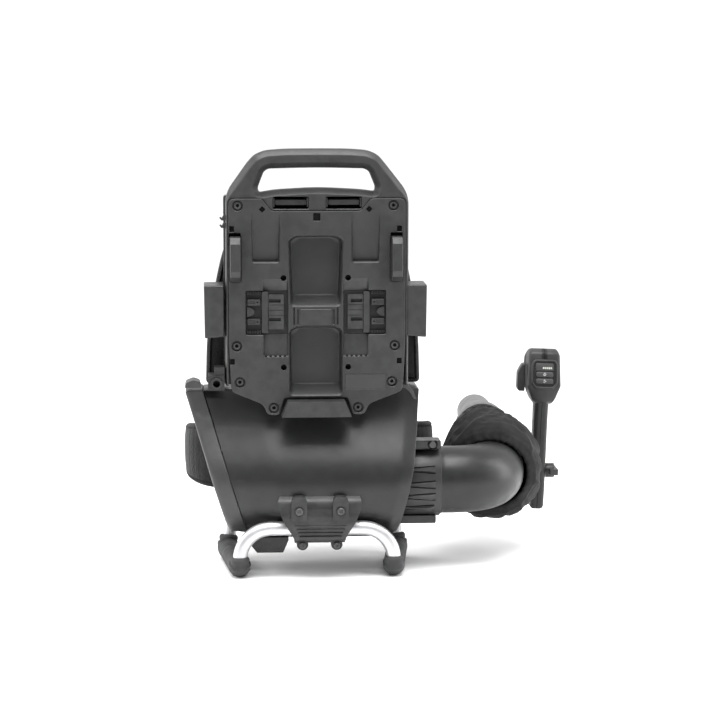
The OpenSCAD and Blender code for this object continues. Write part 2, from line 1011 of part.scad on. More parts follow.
module handle_half(s) {
    difference() {
        union() {
            slab_yz(grip_side(), s > 0 ? 0.05 : -grip_w / 2, s > 0 ? grip_w / 2 : -0.05);
            intersection() {
                slab_yz(grip_side(), min(s * 12, s * 25.5), max(s * 12, s * 25.5));
                slab_xz([[s * 11, 104], [s * 14, 106], [s * 25.5, 128], [s * 25.5, 178],
                    [s * 20, 190], [s * 11, 190]], -60, 60);
            }
        }
        slab_yz([[-26, 120], [-31, 133], [-19.5, 180], [-8, 184], [18, 180], [27, 158], [27, 128],
            [18, 110], [12, 96], [12, 78], [-11, 78], [-13, 98]],
            s > 0 ? -1 : -grip_w / 2 + wall, s > 0 ? grip_w / 2 - wall : 1);
        rotate([0, -grip_lean, 0])
            rod_x(-40, 40, 0, 0, 4.2);
        slab_yz([[-40, 122], [-40, 200], [-20, 200], [-35.5, 132.4]], -18.5, 18.5);
        slab_yz([[-31.5, 138], [-23.5, 172], [-10, 168], [-18, 136]], -16.4, 16.4);
        slab_yz([[10.5, 79], [40, 60], [40, 116], [14, 116]], -7.5, 7.5);
        slab_yz([[-36, 141.5], [-32, 159.5], [-20, 159.5], [-24, 141.5]], -11.7, 11.7);
        rod_x(-30, 0, 4, 132, 4.15);
    }
}

module handle_shell_left() {
    color([0.24, 0.24, 0.25])
    place()
        on_handle()
            handle_half(-1);
}

module handle_shell_right() {
    color([0.25, 0.25, 0.26])
    place()
        on_handle()
            handle_half(1);
}

module handle_bolt() {
    color([0.5, 0.5, 0.52])
    place()
    union() {
        rod_x(318.5, 366, grip_y, clamp_z, 4);
    }
}

// Tilted plate on the head that carries the display and two buttons.
module on_face() {
    translate([0, -31.2, 150])
        rotate([-13, 0, 0])
            rotate([90, 0, 0])
                children();
}

module keypad_panel() {
    color([0.12, 0.12, 0.13])
    place()
    on_handle()
        on_face()
            difference() {
                translate([-15.5, -10.5, -1.2])
                    cube([31, 31, 2.4]);
                for (y = [-4.2, 4.8])
                    translate([-11.2, y - 3.2, -3])
                        cube([22.4, 6.4, 6]);
            }
}

module key(y) {
    translate([-10.9, y - 2.9, -0.9])
        cube([21.8, 5.8, 3.4]);
}

module power_button() {
    color([0.3, 0.3, 0.31])
    place()
        on_handle()
            on_face()
                key(4.8);
}

module boost_button() {
    color([0.3, 0.3, 0.31])
    place()
        on_handle()
            on_face()
                key(-4.2);
}

// Throttle trigger on the front of the grip, pivoted at its top.
module trigger() {
    color([0.16, 0.16, 0.17])
    place()
    on_handle()
        slab_yz([[13.5, 114], [18, 114], [22, 108], [27, 92], [25, 78], [22, 70], [18.6, 70],
            [18.4, 84], [15.6, 100]], -7, 7);
}

module cruise_lever() {
    color([0.16, 0.16, 0.17])
    place()
    on_handle()
        union() {
            rod_x(-34, -25.9, 4, 132, 11);
            rod_x(-26.5, -16, 4, 132, 4.1);
            slab_yz([[-4, 134], [-8, 152], [-2, 160], [8, 158], [12, 134]], -34, -28);
            slab_yz([[-4, 122], [0, 112], [10, 112], [12, 128]], -37, -27);
        }
}

// Wing knob that clamps the handle to the bracket.
module clamp_knob() {
    color([0.14, 0.14, 0.15])
    place()
    difference() {
        union() {
            rod_x(361.2, 374, grip_y, clamp_z, 11);
            box(366, 378, grip_y - 22, grip_y + 22, clamp_z - 4.5, clamp_z + 4.5);
        }
        rod_x(355, 367, grip_y, clamp_z, 4 + run);
    }
}

// ---------------------------------------------------------------- selector

battery_tray();
tray_screws();
battery_hook_left();
battery_hook_right();
battery_rest();
rating_plate();
latch_slide_left();
latch_slide_right();
carry_frame();
strap_bar_left();
strap_bar_right();
side_bracket_left();
side_bracket_right();
power_inlet();
fan_housing();
inlet_cover();
inlet_grille();
outlet_collar();
collar_screw();
under_guard();
fan_shroud();
guide_vanes();
motor_stator();
bearing_front();
bearing_rear();
controller_box();
fan_wheel();
motor_rotor();
motor_shaft();
back_plate();
vibration_dampers();
back_pad();
lumbar_pad();
shoulder_strap_left();
shoulder_strap_right();
strap_webbing_left();
strap_webbing_right();
hip_pad_left();
hip_pad_right();
stand_tube();
foot_left();
foot_right();
stand_bracket();
bracket_screws();
elbow();
hose_bellows();
hose_sleeve();
blower_tube();
tube_bracket();
handle_shell_left();
handle_shell_right();
handle_bolt();
keypad_panel();
power_button();
boost_button();
trigger();
cruise_lever();
clamp_knob();
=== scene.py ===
import math
import bmesh
import bpy
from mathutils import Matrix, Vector, noise


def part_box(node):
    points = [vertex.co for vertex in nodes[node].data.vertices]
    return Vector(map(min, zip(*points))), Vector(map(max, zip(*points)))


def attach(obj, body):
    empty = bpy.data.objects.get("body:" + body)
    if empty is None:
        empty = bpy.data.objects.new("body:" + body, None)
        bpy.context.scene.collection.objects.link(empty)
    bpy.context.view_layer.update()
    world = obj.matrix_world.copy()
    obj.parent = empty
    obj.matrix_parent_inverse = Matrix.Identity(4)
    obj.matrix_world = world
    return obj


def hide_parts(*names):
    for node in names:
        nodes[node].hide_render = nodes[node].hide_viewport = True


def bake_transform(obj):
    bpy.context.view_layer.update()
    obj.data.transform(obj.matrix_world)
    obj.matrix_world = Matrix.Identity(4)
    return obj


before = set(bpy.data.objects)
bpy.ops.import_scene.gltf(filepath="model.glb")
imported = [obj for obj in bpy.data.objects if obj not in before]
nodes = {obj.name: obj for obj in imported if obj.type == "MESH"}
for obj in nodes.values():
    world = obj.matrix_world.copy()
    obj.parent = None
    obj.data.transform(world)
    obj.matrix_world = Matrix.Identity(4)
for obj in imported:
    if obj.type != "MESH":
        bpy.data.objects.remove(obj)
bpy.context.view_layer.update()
tray_lo, tray_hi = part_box("battery_tray")
CX = (tray_lo[0] + tray_hi[0]) / 2
FY = tray_lo[1]
FAN_Y, FAN_Z = 56, 125      # the fan's axis, in millimetres like all numbers below
FAN_AXIS = (1, 0, 0)
BOX_FACES = ((0, 1, 3, 2), (4, 6, 7, 5), (0, 4, 5, 1), (2, 3, 7, 6), (0, 2, 6, 4), (1, 5, 7, 3))


def P(x, y, z):
    """Millimetres from the middle of the tray's face to the row frame."""
    return Vector((CX + x / 1000, FY + y / 1000, z / 1000))


def side_of(s):
    return "left" if s < 0 else "right"


def add(tree, kind, links=None, **values):
    """A new shader node with its input values and links; _ in a value's name stands for a space."""
    k = tree.nodes.new("ShaderNode" + kind)
    for name, value in values.items():
        k.inputs[name.replace("_", " ")].default_value = value
    for name, source in (links or {}).items():
        tree.links.new(source, k.inputs[name])
    return k


# ---- camera
camera = bpy.data.objects.new("camera", bpy.data.cameras.new("camera"))
bpy.context.collection.objects.link(camera)
camera.data.lens = 128.57
camera.data.sensor_width = 36
camera.data.clip_end = 60
az, el = math.radians(-3.5), math.radians(7)
back = Vector((math.sin(az) * math.cos(el), -math.cos(az) * math.cos(el), math.sin(el)))
camera.location = P(61.6, 0, 305) + back * 3.6
camera.rotation_euler = (-back).to_track_quat("-Z", "Y").to_euler()
bpy.context.scene.camera = camera


# ---- materials
def shade(name, dark, light, rough=0.5, spread=0.1, grain=1100, depth=0.0002, metal=0.0,
          patch=30, sheen=0.0, coat=0.0, weave=None, period=1.2, wear=0.0, spec=0.5):
    """A finish with uneven colour and gloss, surface grain and, for cloth, its weave."""
    m = bpy.data.materials.new(name)
    m.use_nodes = True
    t = m.node_tree
    b = t.nodes["Principled BSDF"]
    mid = [(a + c) / 2 for a, c in zip(dark, light)]
    for key, value in (("Base Color", (*mid, 1)), ("Roughness", rough), ("Metallic", metal),
                       ("Specular IOR Level", spec), ("Sheen Weight", sheen), ("Sheen Roughness", 0.45),
                       ("Coat Weight", coat), ("Coat Roughness", 0.25)):
        b.inputs[key].default_value = value
    co = add(t, "TexCoord").outputs["Object"]

    def cloud(scale, detail, rough_=0.5):
        return add(t, "TexNoise", {"Vector": co}, Scale=scale, Detail=detail, Roughness=rough_).outputs["Fac"]

    def ramp(fac, a, c, lo=0.3, hi=0.7):
        r = add(t, "ValToRGB", {"Fac": fac})
        for e, at, colour_ in zip(r.color_ramp.elements, (lo, hi), (a, c)):
            e.position = at
            e.color = (*colour_, 1)
        return r.outputs["Color"]

    def times(p, q):
        a = add(t, "Math", {0: p, 1: q})
        a.operation = "MULTIPLY"
        return a.outputs[0]

    def mixed(factor, a):
        mix = add(t, "Mix")
        mix.data_type = "RGBA"
        t.links.new(factor, mix.inputs["Factor"])
        t.links.new(a, mix.inputs["A"])
        return mix

    colour = ramp(cloud(patch, 4), dark, light)
    fine = cloud(grain, 3, 0.6)
    height = fine
    if weave == "mesh":
        height = add(t, "TexVoronoi", {"Vector": co}, Scale=1000 / period).outputs["Distance"]
    elif weave:
        waves = []
        for axis in ("Z",) if weave == "rib" else ("X", "Z"):
            w = add(t, "TexWave", {"Vector": co}, Scale=0.314 / (period / 1000), Distortion=0.6, Detail=1,
                    Detail_Scale=4)
            w.wave_type = "BANDS"
            w.bands_direction = axis
            waves.append(w.outputs["Fac"])
        height = times(*waves) if len(waves) == 2 else waves[0]
    if weave:
        mix = mixed(height, colour)
        mix.blend_type = "MULTIPLY"
        t.links.new(ramp(fine, (0.55, 0.55, 0.55), (0.8, 0.8, 0.8)), mix.inputs["B"])
        colour = mix.outputs["Result"]
    if wear:
        g = add(t, "NewGeometry")
        edge = ramp(g.outputs["Pointiness"], (0, 0, 0), (1, 1, 1), 0.505, 0.60)
        mix = mixed(times(edge, ramp(cloud(70, 5), (0, 0, 0), (wear, wear, wear), 0.35, 0.6)), colour)
        mix.inputs["B"].default_value = (*[min(1, c * 2.2 + 0.02) for c in light], 1)
        colour = mix.outputs["Result"]
    t.links.new(colour, b.inputs["Base Color"])
    gloss = add(t, "MapRange", {"Value": cloud(patch * 3.1, 5)}, From_Min=0.3, From_Max=0.7,
                To_Min=max(0, rough - spread), To_Max=min(1, rough + spread))
    t.links.new(gloss.outputs["Result"], b.inputs["Roughness"])
    bump = add(t, "Bump", {"Height": height}, Strength=0.6, Distance=depth)
    if weave:
        rumple = add(t, "Bump", {"Height": cloud(60, 3)}, Strength=0.35, Distance=0.0012)
        t.links.new(rumple.outputs["Normal"], bump.inputs["Normal"])
    t.links.new(bump.outputs["Normal"], b.inputs["Normal"])
    return m


def grey(v):
    return v, v, v * 1.02      # very slightly blue


FINISHES = {      # name, dark and light grey or colour, roughness, its spread, grain, depth, the rest by name
    "tray": ("tray_plastic", 0.017, 0.022, 0.45, 0.06, 1500, 0.00012, dict(wear=0.3, spec=0.36)),
    "frame": ("frame_plastic", 0.016, 0.021, 0.43, 0.06, 1500, 0.00012, dict(wear=0.3, spec=0.38)),
    "bracket": ("bracket_plastic", 0.013, 0.017, 0.42, 0.07, 1400, 0.00013, dict(wear=0.3, spec=0.4)),
    "housing": ("housing_plastic", 0.011, 0.015, 0.34, 0.05, 1500, 0.0001, dict(wear=0.25, spec=0.36)),
    "cover": ("cover_plastic", 0.022, 0.028, 0.42, 0.06, 1500, 0.00012, dict(wear=0.3, spec=0.45)),
    "grille": ("grille_plastic", 0.006, 0.009, 0.55, 0.08, 1300, 0.00015, dict(wear=0.2, spec=0.25)),
    "duct": ("duct_plastic", 0.030, 0.040, 0.50, 0.08, 1300, 0.00012, dict(wear=0.2)),
    "elbow": ("elbow_plastic", 0.008, 0.012, 0.36, 0.06, 1400, 0.0001, dict(wear=0.3, spec=0.36)),
    "tube": ("tube_plastic", 0.075, 0.095, 0.45, 0.07, 1300, 0.0001, dict(wear=0.2)),
    "screw": ("screw_steel", 0.03, 0.05, 0.40, 0.12, 2600, 0.00006, dict(metal=0.4, wear=0.4)),
    # near-black painted shade, laid into holes, slots, gaps and seams
    "painted_shade": ("socket_shadow", 0.002, 0.004, 0.8, 0.1, 1500, 0.00005, dict(spec=0.1)),
    "steel": ("steel", 0.42, 0.55, 0.28, 0.1, 2600, 0.00004, dict(metal=1.0, wear=0.3)),
    "copper": ("copper_iron", (0.30, 0.12, 0.05), (0.52, 0.23, 0.10), 0.36, 0.12, 900, 0.0002, dict(metal=0.9)),
    "alu": ("stand_alu", 0.50, 0.60, 0.46, 0.08, 2400, 0.00004, dict(metal=1.0, patch=14)),
    "rubber": ("boot_rubber", 0.022, 0.036, 0.66, 0.1, 800, 0.0003, dict(wear=0.25, spec=0.35)),
    "damper": ("damper_rubber", 0.016, 0.026, 0.72, 0.1, 800, 0.0003, dict(spec=0.3)),
    "pad": ("pad_fabric", 0.009, 0.017, 0.92, 0.05, 900, 0.0007,
             dict(sheen=0.12, weave="mesh", period=2.6, spec=0.2)),
    "strap": ("strap_fabric", 0.009, 0.016, 0.9, 0.05, 900, 0.0005,
             dict(sheen=0.12, weave="cloth", period=1.3, spec=0.2)),
    "web": ("webbing", 0.009, 0.016, 0.82, 0.06, 900, 0.0006, dict(sheen=0.1, weave="rib", period=1.7, spec=0.25)),
    "sleeve": ("sleeve_fabric", 0.006, 0.010, 0.72, 0.08, 900, 0.0003,
             dict(sheen=0.02, weave="cloth", period=0.9, spec=0.18)),
    "hose": ("hose_rubber", 0.014, 0.022, 0.55, 0.1, 900, 0.0002, dict(spec=0.4)),
    "handle": ("handle_plastic", 0.013, 0.018, 0.46, 0.07, 1500, 0.00014, dict(wear=0.3, spec=0.36)),
    "keypad": ("keypad", 0.006, 0.009, 0.24, 0.06, 1500, 0.00004, dict(coat=0.3)),
    "key": ("key_plastic", 0.030, 0.038, 0.55, 0.08, 1300, 0.0002, dict(spec=0.4)),
    "plate": ("plate_sticker", 0.019, 0.022, 0.34, 0.05, 1800, 0.00005, dict()),
    "icon": ("icon_print", 0.62, 0.72, 0.5, 0.05, 1500, 0.00003, dict()),
    "amber": ("lamp_lens", (0.38, 0.40, 0.36), (0.46, 0.48, 0.43), 0.2, 0.05, 1500, 0.00003, dict(coat=0.4)),
}
M = {}
for key, (name, dark, light, *numbers, named) in FINISHES.items():
    lo, hi = [v if isinstance(v, tuple) else grey(v) for v in (dark, light)]
    M[key] = shade(name, lo, hi, *numbers, **named)


# ---- mesh helpers
def put(name, me):
    o = bpy.data.objects.new(name, me)
    bpy.context.collection.objects.link(o)
    return o


def mesh(name, verts, faces, mat):
    me = bpy.data.meshes.new(name)
    me.from_pydata([P(*v) for v in verts], [], faces)
    bm = bmesh.new()
    bm.from_mesh(me)
    bmesh.ops.remove_doubles(bm, verts=bm.verts, dist=1e-6)
    bmesh.ops.recalc_face_normals(bm, faces=bm.faces)
    bm.to_mesh(me)
    bm.free()
    me.materials.append(mat)
    return put(name, me)


def loft(name, rings, mat, caps=True, tore=False):
    n = len(rings[0])
    faces = []
    m = len(rings)
    for i in range(m if tore else m - 1):
        for j in range(n):
            a, b = i * n + j, i * n + (j + 1) % n
            c, d = ((i + 1) % m) * n + (j + 1) % n, ((i + 1) % m) * n + j
            faces.append((a, b, c, d))
    if caps and not tore:
        faces.append(tuple(range(n - 1, -1, -1)))
        faces.append(tuple((m - 1) * n + j for j in range(n)))
    return mesh(name, [p for r in rings for p in r], faces, mat)


def rounded(pts, r, k=4):
    out = []
    n = len(pts)
    for i, p in enumerate(pts):
        rr = r[i] if isinstance(r, (list, tuple)) else r
        a, b, c = Vector(pts[i - 1]), Vector(p), Vector(pts[(i + 1) % n])
        u, v = a - b, c - b
        d = min(rr, u.length * 0.45, v.length * 0.45)
        s, e = b + u.normalized() * d, b + v.normalized() * d
        for q in range(k + 1):
            t = q / k
            out.append(tuple((1 - t) ** 2 * s + 2 * t * (1 - t) * b + t * t * e))
    return out


def offset(pts, d):
    """The closed outline moved inwards by d."""
    n = len(pts)
    area = sum(pts[i - 1][0] * pts[i][1] - pts[i][0] * pts[i - 1][1] for i in range(n))
    s = 1 if area > 0 else -1
    out = []
    for i in range(n):
        a, b, c = Vector(pts[i - 1]), Vector(pts[i]), Vector(pts[(i + 1) % n])
        u, v = (b - a).normalized(), (c - b).normalized()
        w = Vector((-u.y - v.y, u.x + v.x)) * s
        if w.length < 1e-6:
            w = Vector((-u.y, u.x)) * s
        w.normalize()
        k = max(0.5, Vector((-u.y, u.x)).dot(w) * s)
        out.append(tuple(b + w * (d / k)))
    return out


def lift(ring, axis, w):
    if axis == "y":
        return [(p[0], w, p[1]) for p in ring]
    if axis == "x":
        return [(w, p[0], p[1]) for p in ring]
    return [(p[0], p[1], w) for p in ring]


def slab(name, pts, axis, a, b, mat, r=2.0, k=4):
    ring = rounded(pts, r, k) if r else pts
    return loft(name, [lift(ring, axis, a), lift(ring, axis, b)], mat)


def box(name, x0, x1, y0, y1, z0, z1, mat, r=0.0):
    return slab(name, rect(x0, x1, z0, z1), "y", y0, y1, mat, r)


def rect(x0, x1, z0, z1):
    x0, x1 = min(x0, x1), max(x0, x1)
    return [(x0, z0), (x1, z0), (x1, z1), (x0, z1)]


def circle(x, z, r, n=40):
    return [(x + r * math.cos(2 * math.pi * i / n), z + r * math.sin(2 * math.pi * i / n)) for i in range(n)]


def rod(name, x, z, y0, y1, r, mat, n=40):
    return loft(name, [lift(circle(x, z, r, n), "y", y0), lift(circle(x, z, r, n), "y", y1)], mat)


def basis(d):
    d = Vector(d).normalized()
    up = Vector((0, 0, 1)) if abs(d.z) < 0.9 else Vector((1, 0, 0))
    u = d.cross(up).normalized()
    return d, u, u.cross(d)


def turned(name, origin, d, profile, mat, n=72, tore=False):
    """A turned piece: profile lists (along, radius)."""
    d, u, v = basis(d)
    o = Vector(origin)
    rings = []
    for t, r in profile:
        rings.append([tuple(o + d * t + (u * math.cos(2 * math.pi * i / n) + v * math.sin(2 * math.pi * i / n)) * r)
                      for i in range(n)])
    return loft(name, rings, mat, caps=not tore, tore=tore)


def fillet(pts, radii, k=10):
    out = [Vector(pts[0])]
    for i in range(1, len(pts) - 1):
        a, b, c = Vector(pts[i - 1]), Vector(pts[i]), Vector(pts[i + 1])
        u, v = (a - b).normalized(), (c - b).normalized()
        half = u.angle(v) / 2
        r = radii[i - 1] if isinstance(radii, (list, tuple)) else radii
        d = r / math.tan(half)
        mid = b + (u + v).normalized() * (r / math.sin(half))
        s, e = b + u * d - mid, b + v * d - mid
        ang = s.angle(e)
        for q in range(k + 1):
            t = q / k
            w = (s * math.sin((1 - t) * ang) + e * math.sin(t * ang)) / math.sin(ang)
            out.append(mid + w)
    out.append(Vector(pts[-1]))
    return out


def resample(path, step):
    out = [path[0].copy()]
    for a, b in zip(path, path[1:]):
        n = max(1, int((b - a).length / step))
        out += [a.lerp(b, (i + 1) / n) for i in range(n)]
    return out


def sweep(name, path, radius, mat, n=32, shape=None):
    """A round bar along path; radius is a number or a function of the share of the length."""
    lens = [0.0]
    for a, b in zip(path, path[1:]):
        lens.append(lens[-1] + (b - a).length)
    rings = []
    ref = None
    for i, p in enumerate(path):
        a, b = path[max(0, i - 1)], path[min(len(path) - 1, i + 1)]
        d = (b - a).normalized()
        if ref is None:
            ref = basis(d)[1]
        ref = (ref - d * ref.dot(d)).normalized()
        v = d.cross(ref)
        r = radius(lens[i] / lens[-1]) if callable(radius) else radius
        ring = []
        for j in range(n):
            t = 2 * math.pi * j / n
            q = p + (ref * math.cos(t) + v * math.sin(t)) * r
            ring.append(shape(q) if shape else tuple(q))
        rings.append(ring)
    return loft(name, rings, mat)


def carve(obj, cutters, op="DIFFERENCE"):
    col = bpy.data.collections.new(obj.name + "_tools")
    bpy.context.scene.collection.children.link(col)
    for c in cutters:
        for u in list(c.users_collection):
            u.objects.unlink(c)
        col.objects.link(c)
    for c in cutters if op == "INTERSECT" else [None]:
        m = obj.modifiers.new("carve", "BOOLEAN")
        m.solver = "EXACT"
        m.operation = op
        if c is None:
            m.operand_type = "COLLECTION"
            m.collection = col
        else:
            m.object = c
    bpy.context.view_layer.update()
    dg = bpy.context.evaluated_depsgraph_get()
    me = bpy.data.meshes.new_from_object(obj.evaluated_get(dg))
    obj.modifiers.clear()
    obj.data = me
    mat = me.materials[0]
    me.materials.clear()
    me.materials.append(mat)
    bm = bmesh.new()
    bm.from_mesh(me)
    bmesh.ops.remove_doubles(bm, verts=bm.verts, dist=2e-5)
    bmesh.ops.dissolve_degenerate(bm, edges=bm.edges, dist=2e-5)
    bmesh.ops.triangulate(bm, faces=[f for f in bm.faces if len(f.verts) > 4])
    bm.to_mesh(me)
    bm.free()
    obj["carved"] = 1
    for c in cutters:
        bpy.data.objects.remove(c)
    bpy.data.collections.remove(col)
    return obj


def dress(o, body="frame", bevel=0.8, seg=2, angle=33, smooth=40, swap=()):
    """Soft edges, smooth shading, the body it moves with and the CAD nodes it stands for."""
    me = o.data
    me.polygons.foreach_set("use_smooth", [True] * len(me.polygons))
    me.set_sharp_from_angle(angle=math.radians(smooth))
    if bevel:
        m = o.modifiers.new("edge", "BEVEL")
        m.width = bevel / 1000
        m.segments = seg
        m.limit_method = "ANGLE"
        m.angle_limit = math.radians(angle)
        m.harden_normals = True
        m.use_clamp_overlap = "carved" not in o
    if body:
        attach(o, body)
    if swap:
        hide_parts(*swap)
    return o


def cad(mat, *names, bevel, seg):
    for name in names:
        o = nodes[name]
        o.data.materials.clear()
        o.data.materials.append(mat)
        if bevel:
            w = o.modifiers.new("weld", "WELD")
            w.merge_threshold = 1e-6
            m = o.modifiers.new("edge", "BEVEL")
            m.width = bevel / 1000
            m.segments = seg
            m.limit_method = "ANGLE"
            m.angle_limit = math.radians(40)
            m.use_clamp_overlap = True


# ---- battery tray
TRAY = [(-118, 261), (-120, 290), (-121.5, 330), (-121.5, 531.5), (-75, 531.5), (-61, 514), (63, 514),
        (77, 531.5), (125.5, 531.5), (125.5, 330), (123.5, 290), (121, 261), (74, 243), (68, 228),
        (51.5, 228), (44, 252), (-44, 252), (-51.5, 228), (-68, 228), (-74, 243)]
SCREWS = [(108.5, 521.5), (110.5, 325.5), (106.5, 274.5), (59, 238)]
tm = M["tray"]
tray_ring = rounded(TRAY, [6, 20, 20, 9, 5, 5, 5, 5, 9, 20, 20, 6, 8, 6, 5, 3, 3, 5, 6, 8], 5)
tray = loft("tray", [lift(offset(tray_ring, d_), "y", y_) for d_, y_ in
                     ((1.3, 0), (0.35, 0.45), (0, 1.4), (0, 33))], tm)


def pit(pts, depth, mat, r=2.0, c=0.9, top=0.0):
    """A pocket cutter with a chamfered mouth and a softened floor."""
    q = rounded(pts, r)
    soft_edge = min(c, depth / 3)
    lv = [(top - 1, -(c + 1)), (top + c, 0), (top + depth - soft_edge, 0), (top + depth, soft_edge)]
    return loft("pit", [lift(offset(q, d_), "y", y_) for y_, d_ in lv], mat)


def bore(x, z, r, depth, mat, c=0.7, n=40):
    return loft("bore", [lift(circle(x, z, rr, n), "y", y_) for y_, rr in
                         ((-1, r + c + 1), (c, r), (depth, r))], mat)


def sloped(pts, floor, mat, r=2.0, c=1.7):
    """A pocket cutter whose floor runs out to the face: floor(x, z) is its depth."""
    q = rounded(pts, r)
    a = [(x, -1.0, z) for x, z in offset(q, -(c + 1))]
    b = [(x, max(-0.9, min(c, floor(x, z) - 0.25)), z) for x, z in q]
    e = [(x, max(-0.8, floor(x, z)), z) for x, z in offset(q, 0.9)]
    return loft("sloped", [a, b, e], mat)


def well(z0, z1, w0, w1, depth, ledge):
    def ring(d_, b_):
        return [(w0 - d_, z0 + b_), (w1 - d_, z1 - 5 - d_), (w1 - 9 - d_, z1 - d_), (-w1 + 9 + d_, z1 - d_),
                (-w1 + d_, z1 - 5 - d_), (-w0 + d_, z0 + b_)]
    rr = [7, 9, 16, 16, 9, 7]
    return loft("well", [lift(rounded(ring(d_, b_), rr, 6), "y", y_) for y_, d_, b_ in
                         ((-1.5, -2.8, -2.6), (0.2, -0.8, -0.6), (1.4, 0.3, 0.6), (3.5, 1.0, 2.2),
                          (depth - 3, 2.6, ledge), (depth - 1, 3.6, ledge + 1), (depth, 5.4, ledge + 3))], tm)


cuts = [well(381, 479.5, 35.5, 38, 25, 12), well(255.5, 352.5, 37, 37.5, 23, 12)]
for s in (-1, 1):
    cuts.append(sloped([(s * 51.5, 443), (s * 88, 443), (s * 90.5, 519), (s * 49.5, 519)],
                       lambda x, z: -0.8 + 11.5 * (519 - z) / 76, tm, 3))
    cuts.append(pit(rect(s * 38.5, s * 98, 341, 403), 8, tm, 2.5))
    cuts.append(sloped(rect(s * 38.5, s * 74, 398, 421), lambda x, z: -0.8 + 9.5 * min(1, (421 - z) / 14), tm, 2))
    cuts.append(sloped(rect(s * 38.5, s * 73, 311.5, 347), lambda x, z: 4.0 + 3.0 * min(1, (z - 311) / 20), tm, 2.5))
    for q in range(5):
        cuts.append(bore(s * (43.5 + q * 6.6), 311.4, 1.9, 4.5, tm, 0.4, 16))
    for bz in (358 + 62.75, 358 - 62.75):
        cuts.append(bore(s * 45, bz, 4, 20, tm, 0.5))
    for x, z in SCREWS:
        cuts.append(bore(s * x, z, 7.4, 5.2, tm, 0.6))
    cuts.append(pit(rect(s * 103.6, s * 121.0, 414.6, 480.4), 1.2, tm, 1, 0.4))
    cuts.append(pit(rect(s * 104.5, s * 121, 466, 483.5), 16, tm, 1.5, 0.6))
    cuts.append(pit(rect(s * 29.4, s * 31.2, 354.5, 379), 3.0, tm, 0.8, 0.6))
    cuts.append(pit(rect(s * 23.8, s * 26.2, 355, 377), 1.8, tm, 0.8, 0.5))
    for z in (489, 303.5):
        cuts.append(pit(rect(s * 113.5, s * 120, z - 4, z + 4), 5, tm, 0.8, 0.5))
    x = s * 74.5
    cuts.append(pit([(x, 511.8), (x + 4.6, 516.4), (x, 521), (x - 4.6, 516.4)], 5, tm, 0.5, 0.3))
    # near-black sheets inside the small square pockets and the side slots: painted shade in the holes
    dark = [(s * 113.8, s * 119.7, z - 3.7, z + 3.7, 2.2) for z in (489, 303.5)]
    dark.append((s * 104.8, s * 120.7, 466.3, 483.2, 9))
    for i, (x0, x1, z0, z1, y0) in enumerate(dark):
        dress(box(f"tray_gap_{side_of(s)}_{i}", x0, x1, y0, y0 + 0.4, z0, z1, M["painted_shade"]), bevel=0)
    # a near-black diamond just inside each diamond pocket: painted shade in the hole
    shade_diamond = [(x, 512.2), (x + 4.2, 516.4), (x, 520.6), (x - 4.2, 516.4)]
    dress(slab(f"tray_stud_{side_of(s)}", shade_diamond, "y", 1.6, 2.0, M["painted_shade"], 0.4), bevel=0)
# a near-black square inside the index pocket: painted shade
dress(box("tray_index_shade", -2.8, 6.0, 2.2, 2.6, 500.6, 510.4, M["painted_shade"]), bevel=0)
cuts.append(pit(rect(-3.2, 6.4, 500.2, 510.8), 5, tm, 0.8, 0.6))
cuts.append(pit(rect(40.7, 98.3, 263.7, 285.3), 0.9, tm, 1.0, 0.3))
carve(tray, cuts)
dress(tray, bevel=0, smooth=24, swap=["battery_tray"])
dress(loft("tray_bridge", [lift(offset(rounded(rect(-22, 22.5, 354.2, 377), 2.5, 4), d_), "y", y_)
                           for y_, d_ in ((0.3, 0), (-0.7, 0), (-1.5, 0.8))], tm), bevel=0, smooth=24)
for s in (-1, 1):
    side = side_of(s)
    # a dark plate on each latch pocket's floor, darker than the tray, so the gaps round the latch show painted shade
    dress(box(f"latch_bed_{side}", s * 40, s * 97.2, 7.3, 7.9, 342, 402, M["grille"]), bevel=0)
    # finely ribbed vents above and below each latch
    for j, z in enumerate((399.6, 344.6)):
        verts, faces = [], []
        for q in range(9):
            x0 = s * (77 + q * 2.25)
            x1 = s * (77 + q * 2.25 + 1.0)
            k = len(verts)
            verts += [(x, y, zz) for zz in (z - 2.3, z + 2.3) for y in (3.2, 7.6) for x in (x0, x1)]
            faces += [tuple(k + i for i in f) for f in BOX_FACES]
        dress(mesh(f"latch_vent_{side}_{j}", verts, faces, M["bracket"]), bevel=0.2, seg=1)
    # the sliding latch: inner plate, cross plate, two tabs and a thumb notch
    body = f"latch_{side}"
    lm = M["frame"]
    pl = slab(f"latch_plate_{side}", rect(s * 44.6, s * 66, 348.5, 397.5), "y", 4.4, 7.2, lm, 1)
    carve(pl, [box("c", s * 49, s * 65.2, 3, 9, z - 2.4, z + 2.4, lm, 0.6) for z in (388.3, 362.3)]
          + [box("c", s * 44, s * 67, 3, 5.2, z - 0.5, z + 0.5, lm) for z in (375.4, 367.8, 382.8)])
    dress(pl, body, bevel=0, smooth=24, swap=[f"latch_slide_{side}"])
    dress(slab(f"latch_cross_{side}", rect(s * 66.6, s * 75.4, 343.4, 401.4), "y", 2.4, 7.2, lm, 1), body, bevel=0.7)
    for i, z in enumerate((386.6, 359.4)):
        t_ = slab(f"latch_tab_{side}_{i}", rect(s * 78, s * 95.2, z - 4.2, z + 4.2), "y", 1.6, 7, lm, 1.4)
        carve(t_, [bore(s * 81.5, z, 1.2, 6, lm, 0.2, 16),
                   box("c", s * 84.5, s * 96, 0, 2.6, z - 2.4, z + 2.4, lm, 0.8)])
        dress(t_, body, bevel=0, smooth=24)
    notch = [(s * 96, 366.4), (s * 96, 379.8)] + [(s * (96 - 10.5 * math.sin(a)), 373.1 + 6.7 * math.cos(a))
                                                  for a in [math.pi * i / 12 for i in range(1, 12)]]
    dress(slab(f"latch_thumb_{side}", notch, "y", 3.4, 7, lm, 0.3, 1), body, bevel=0.5)


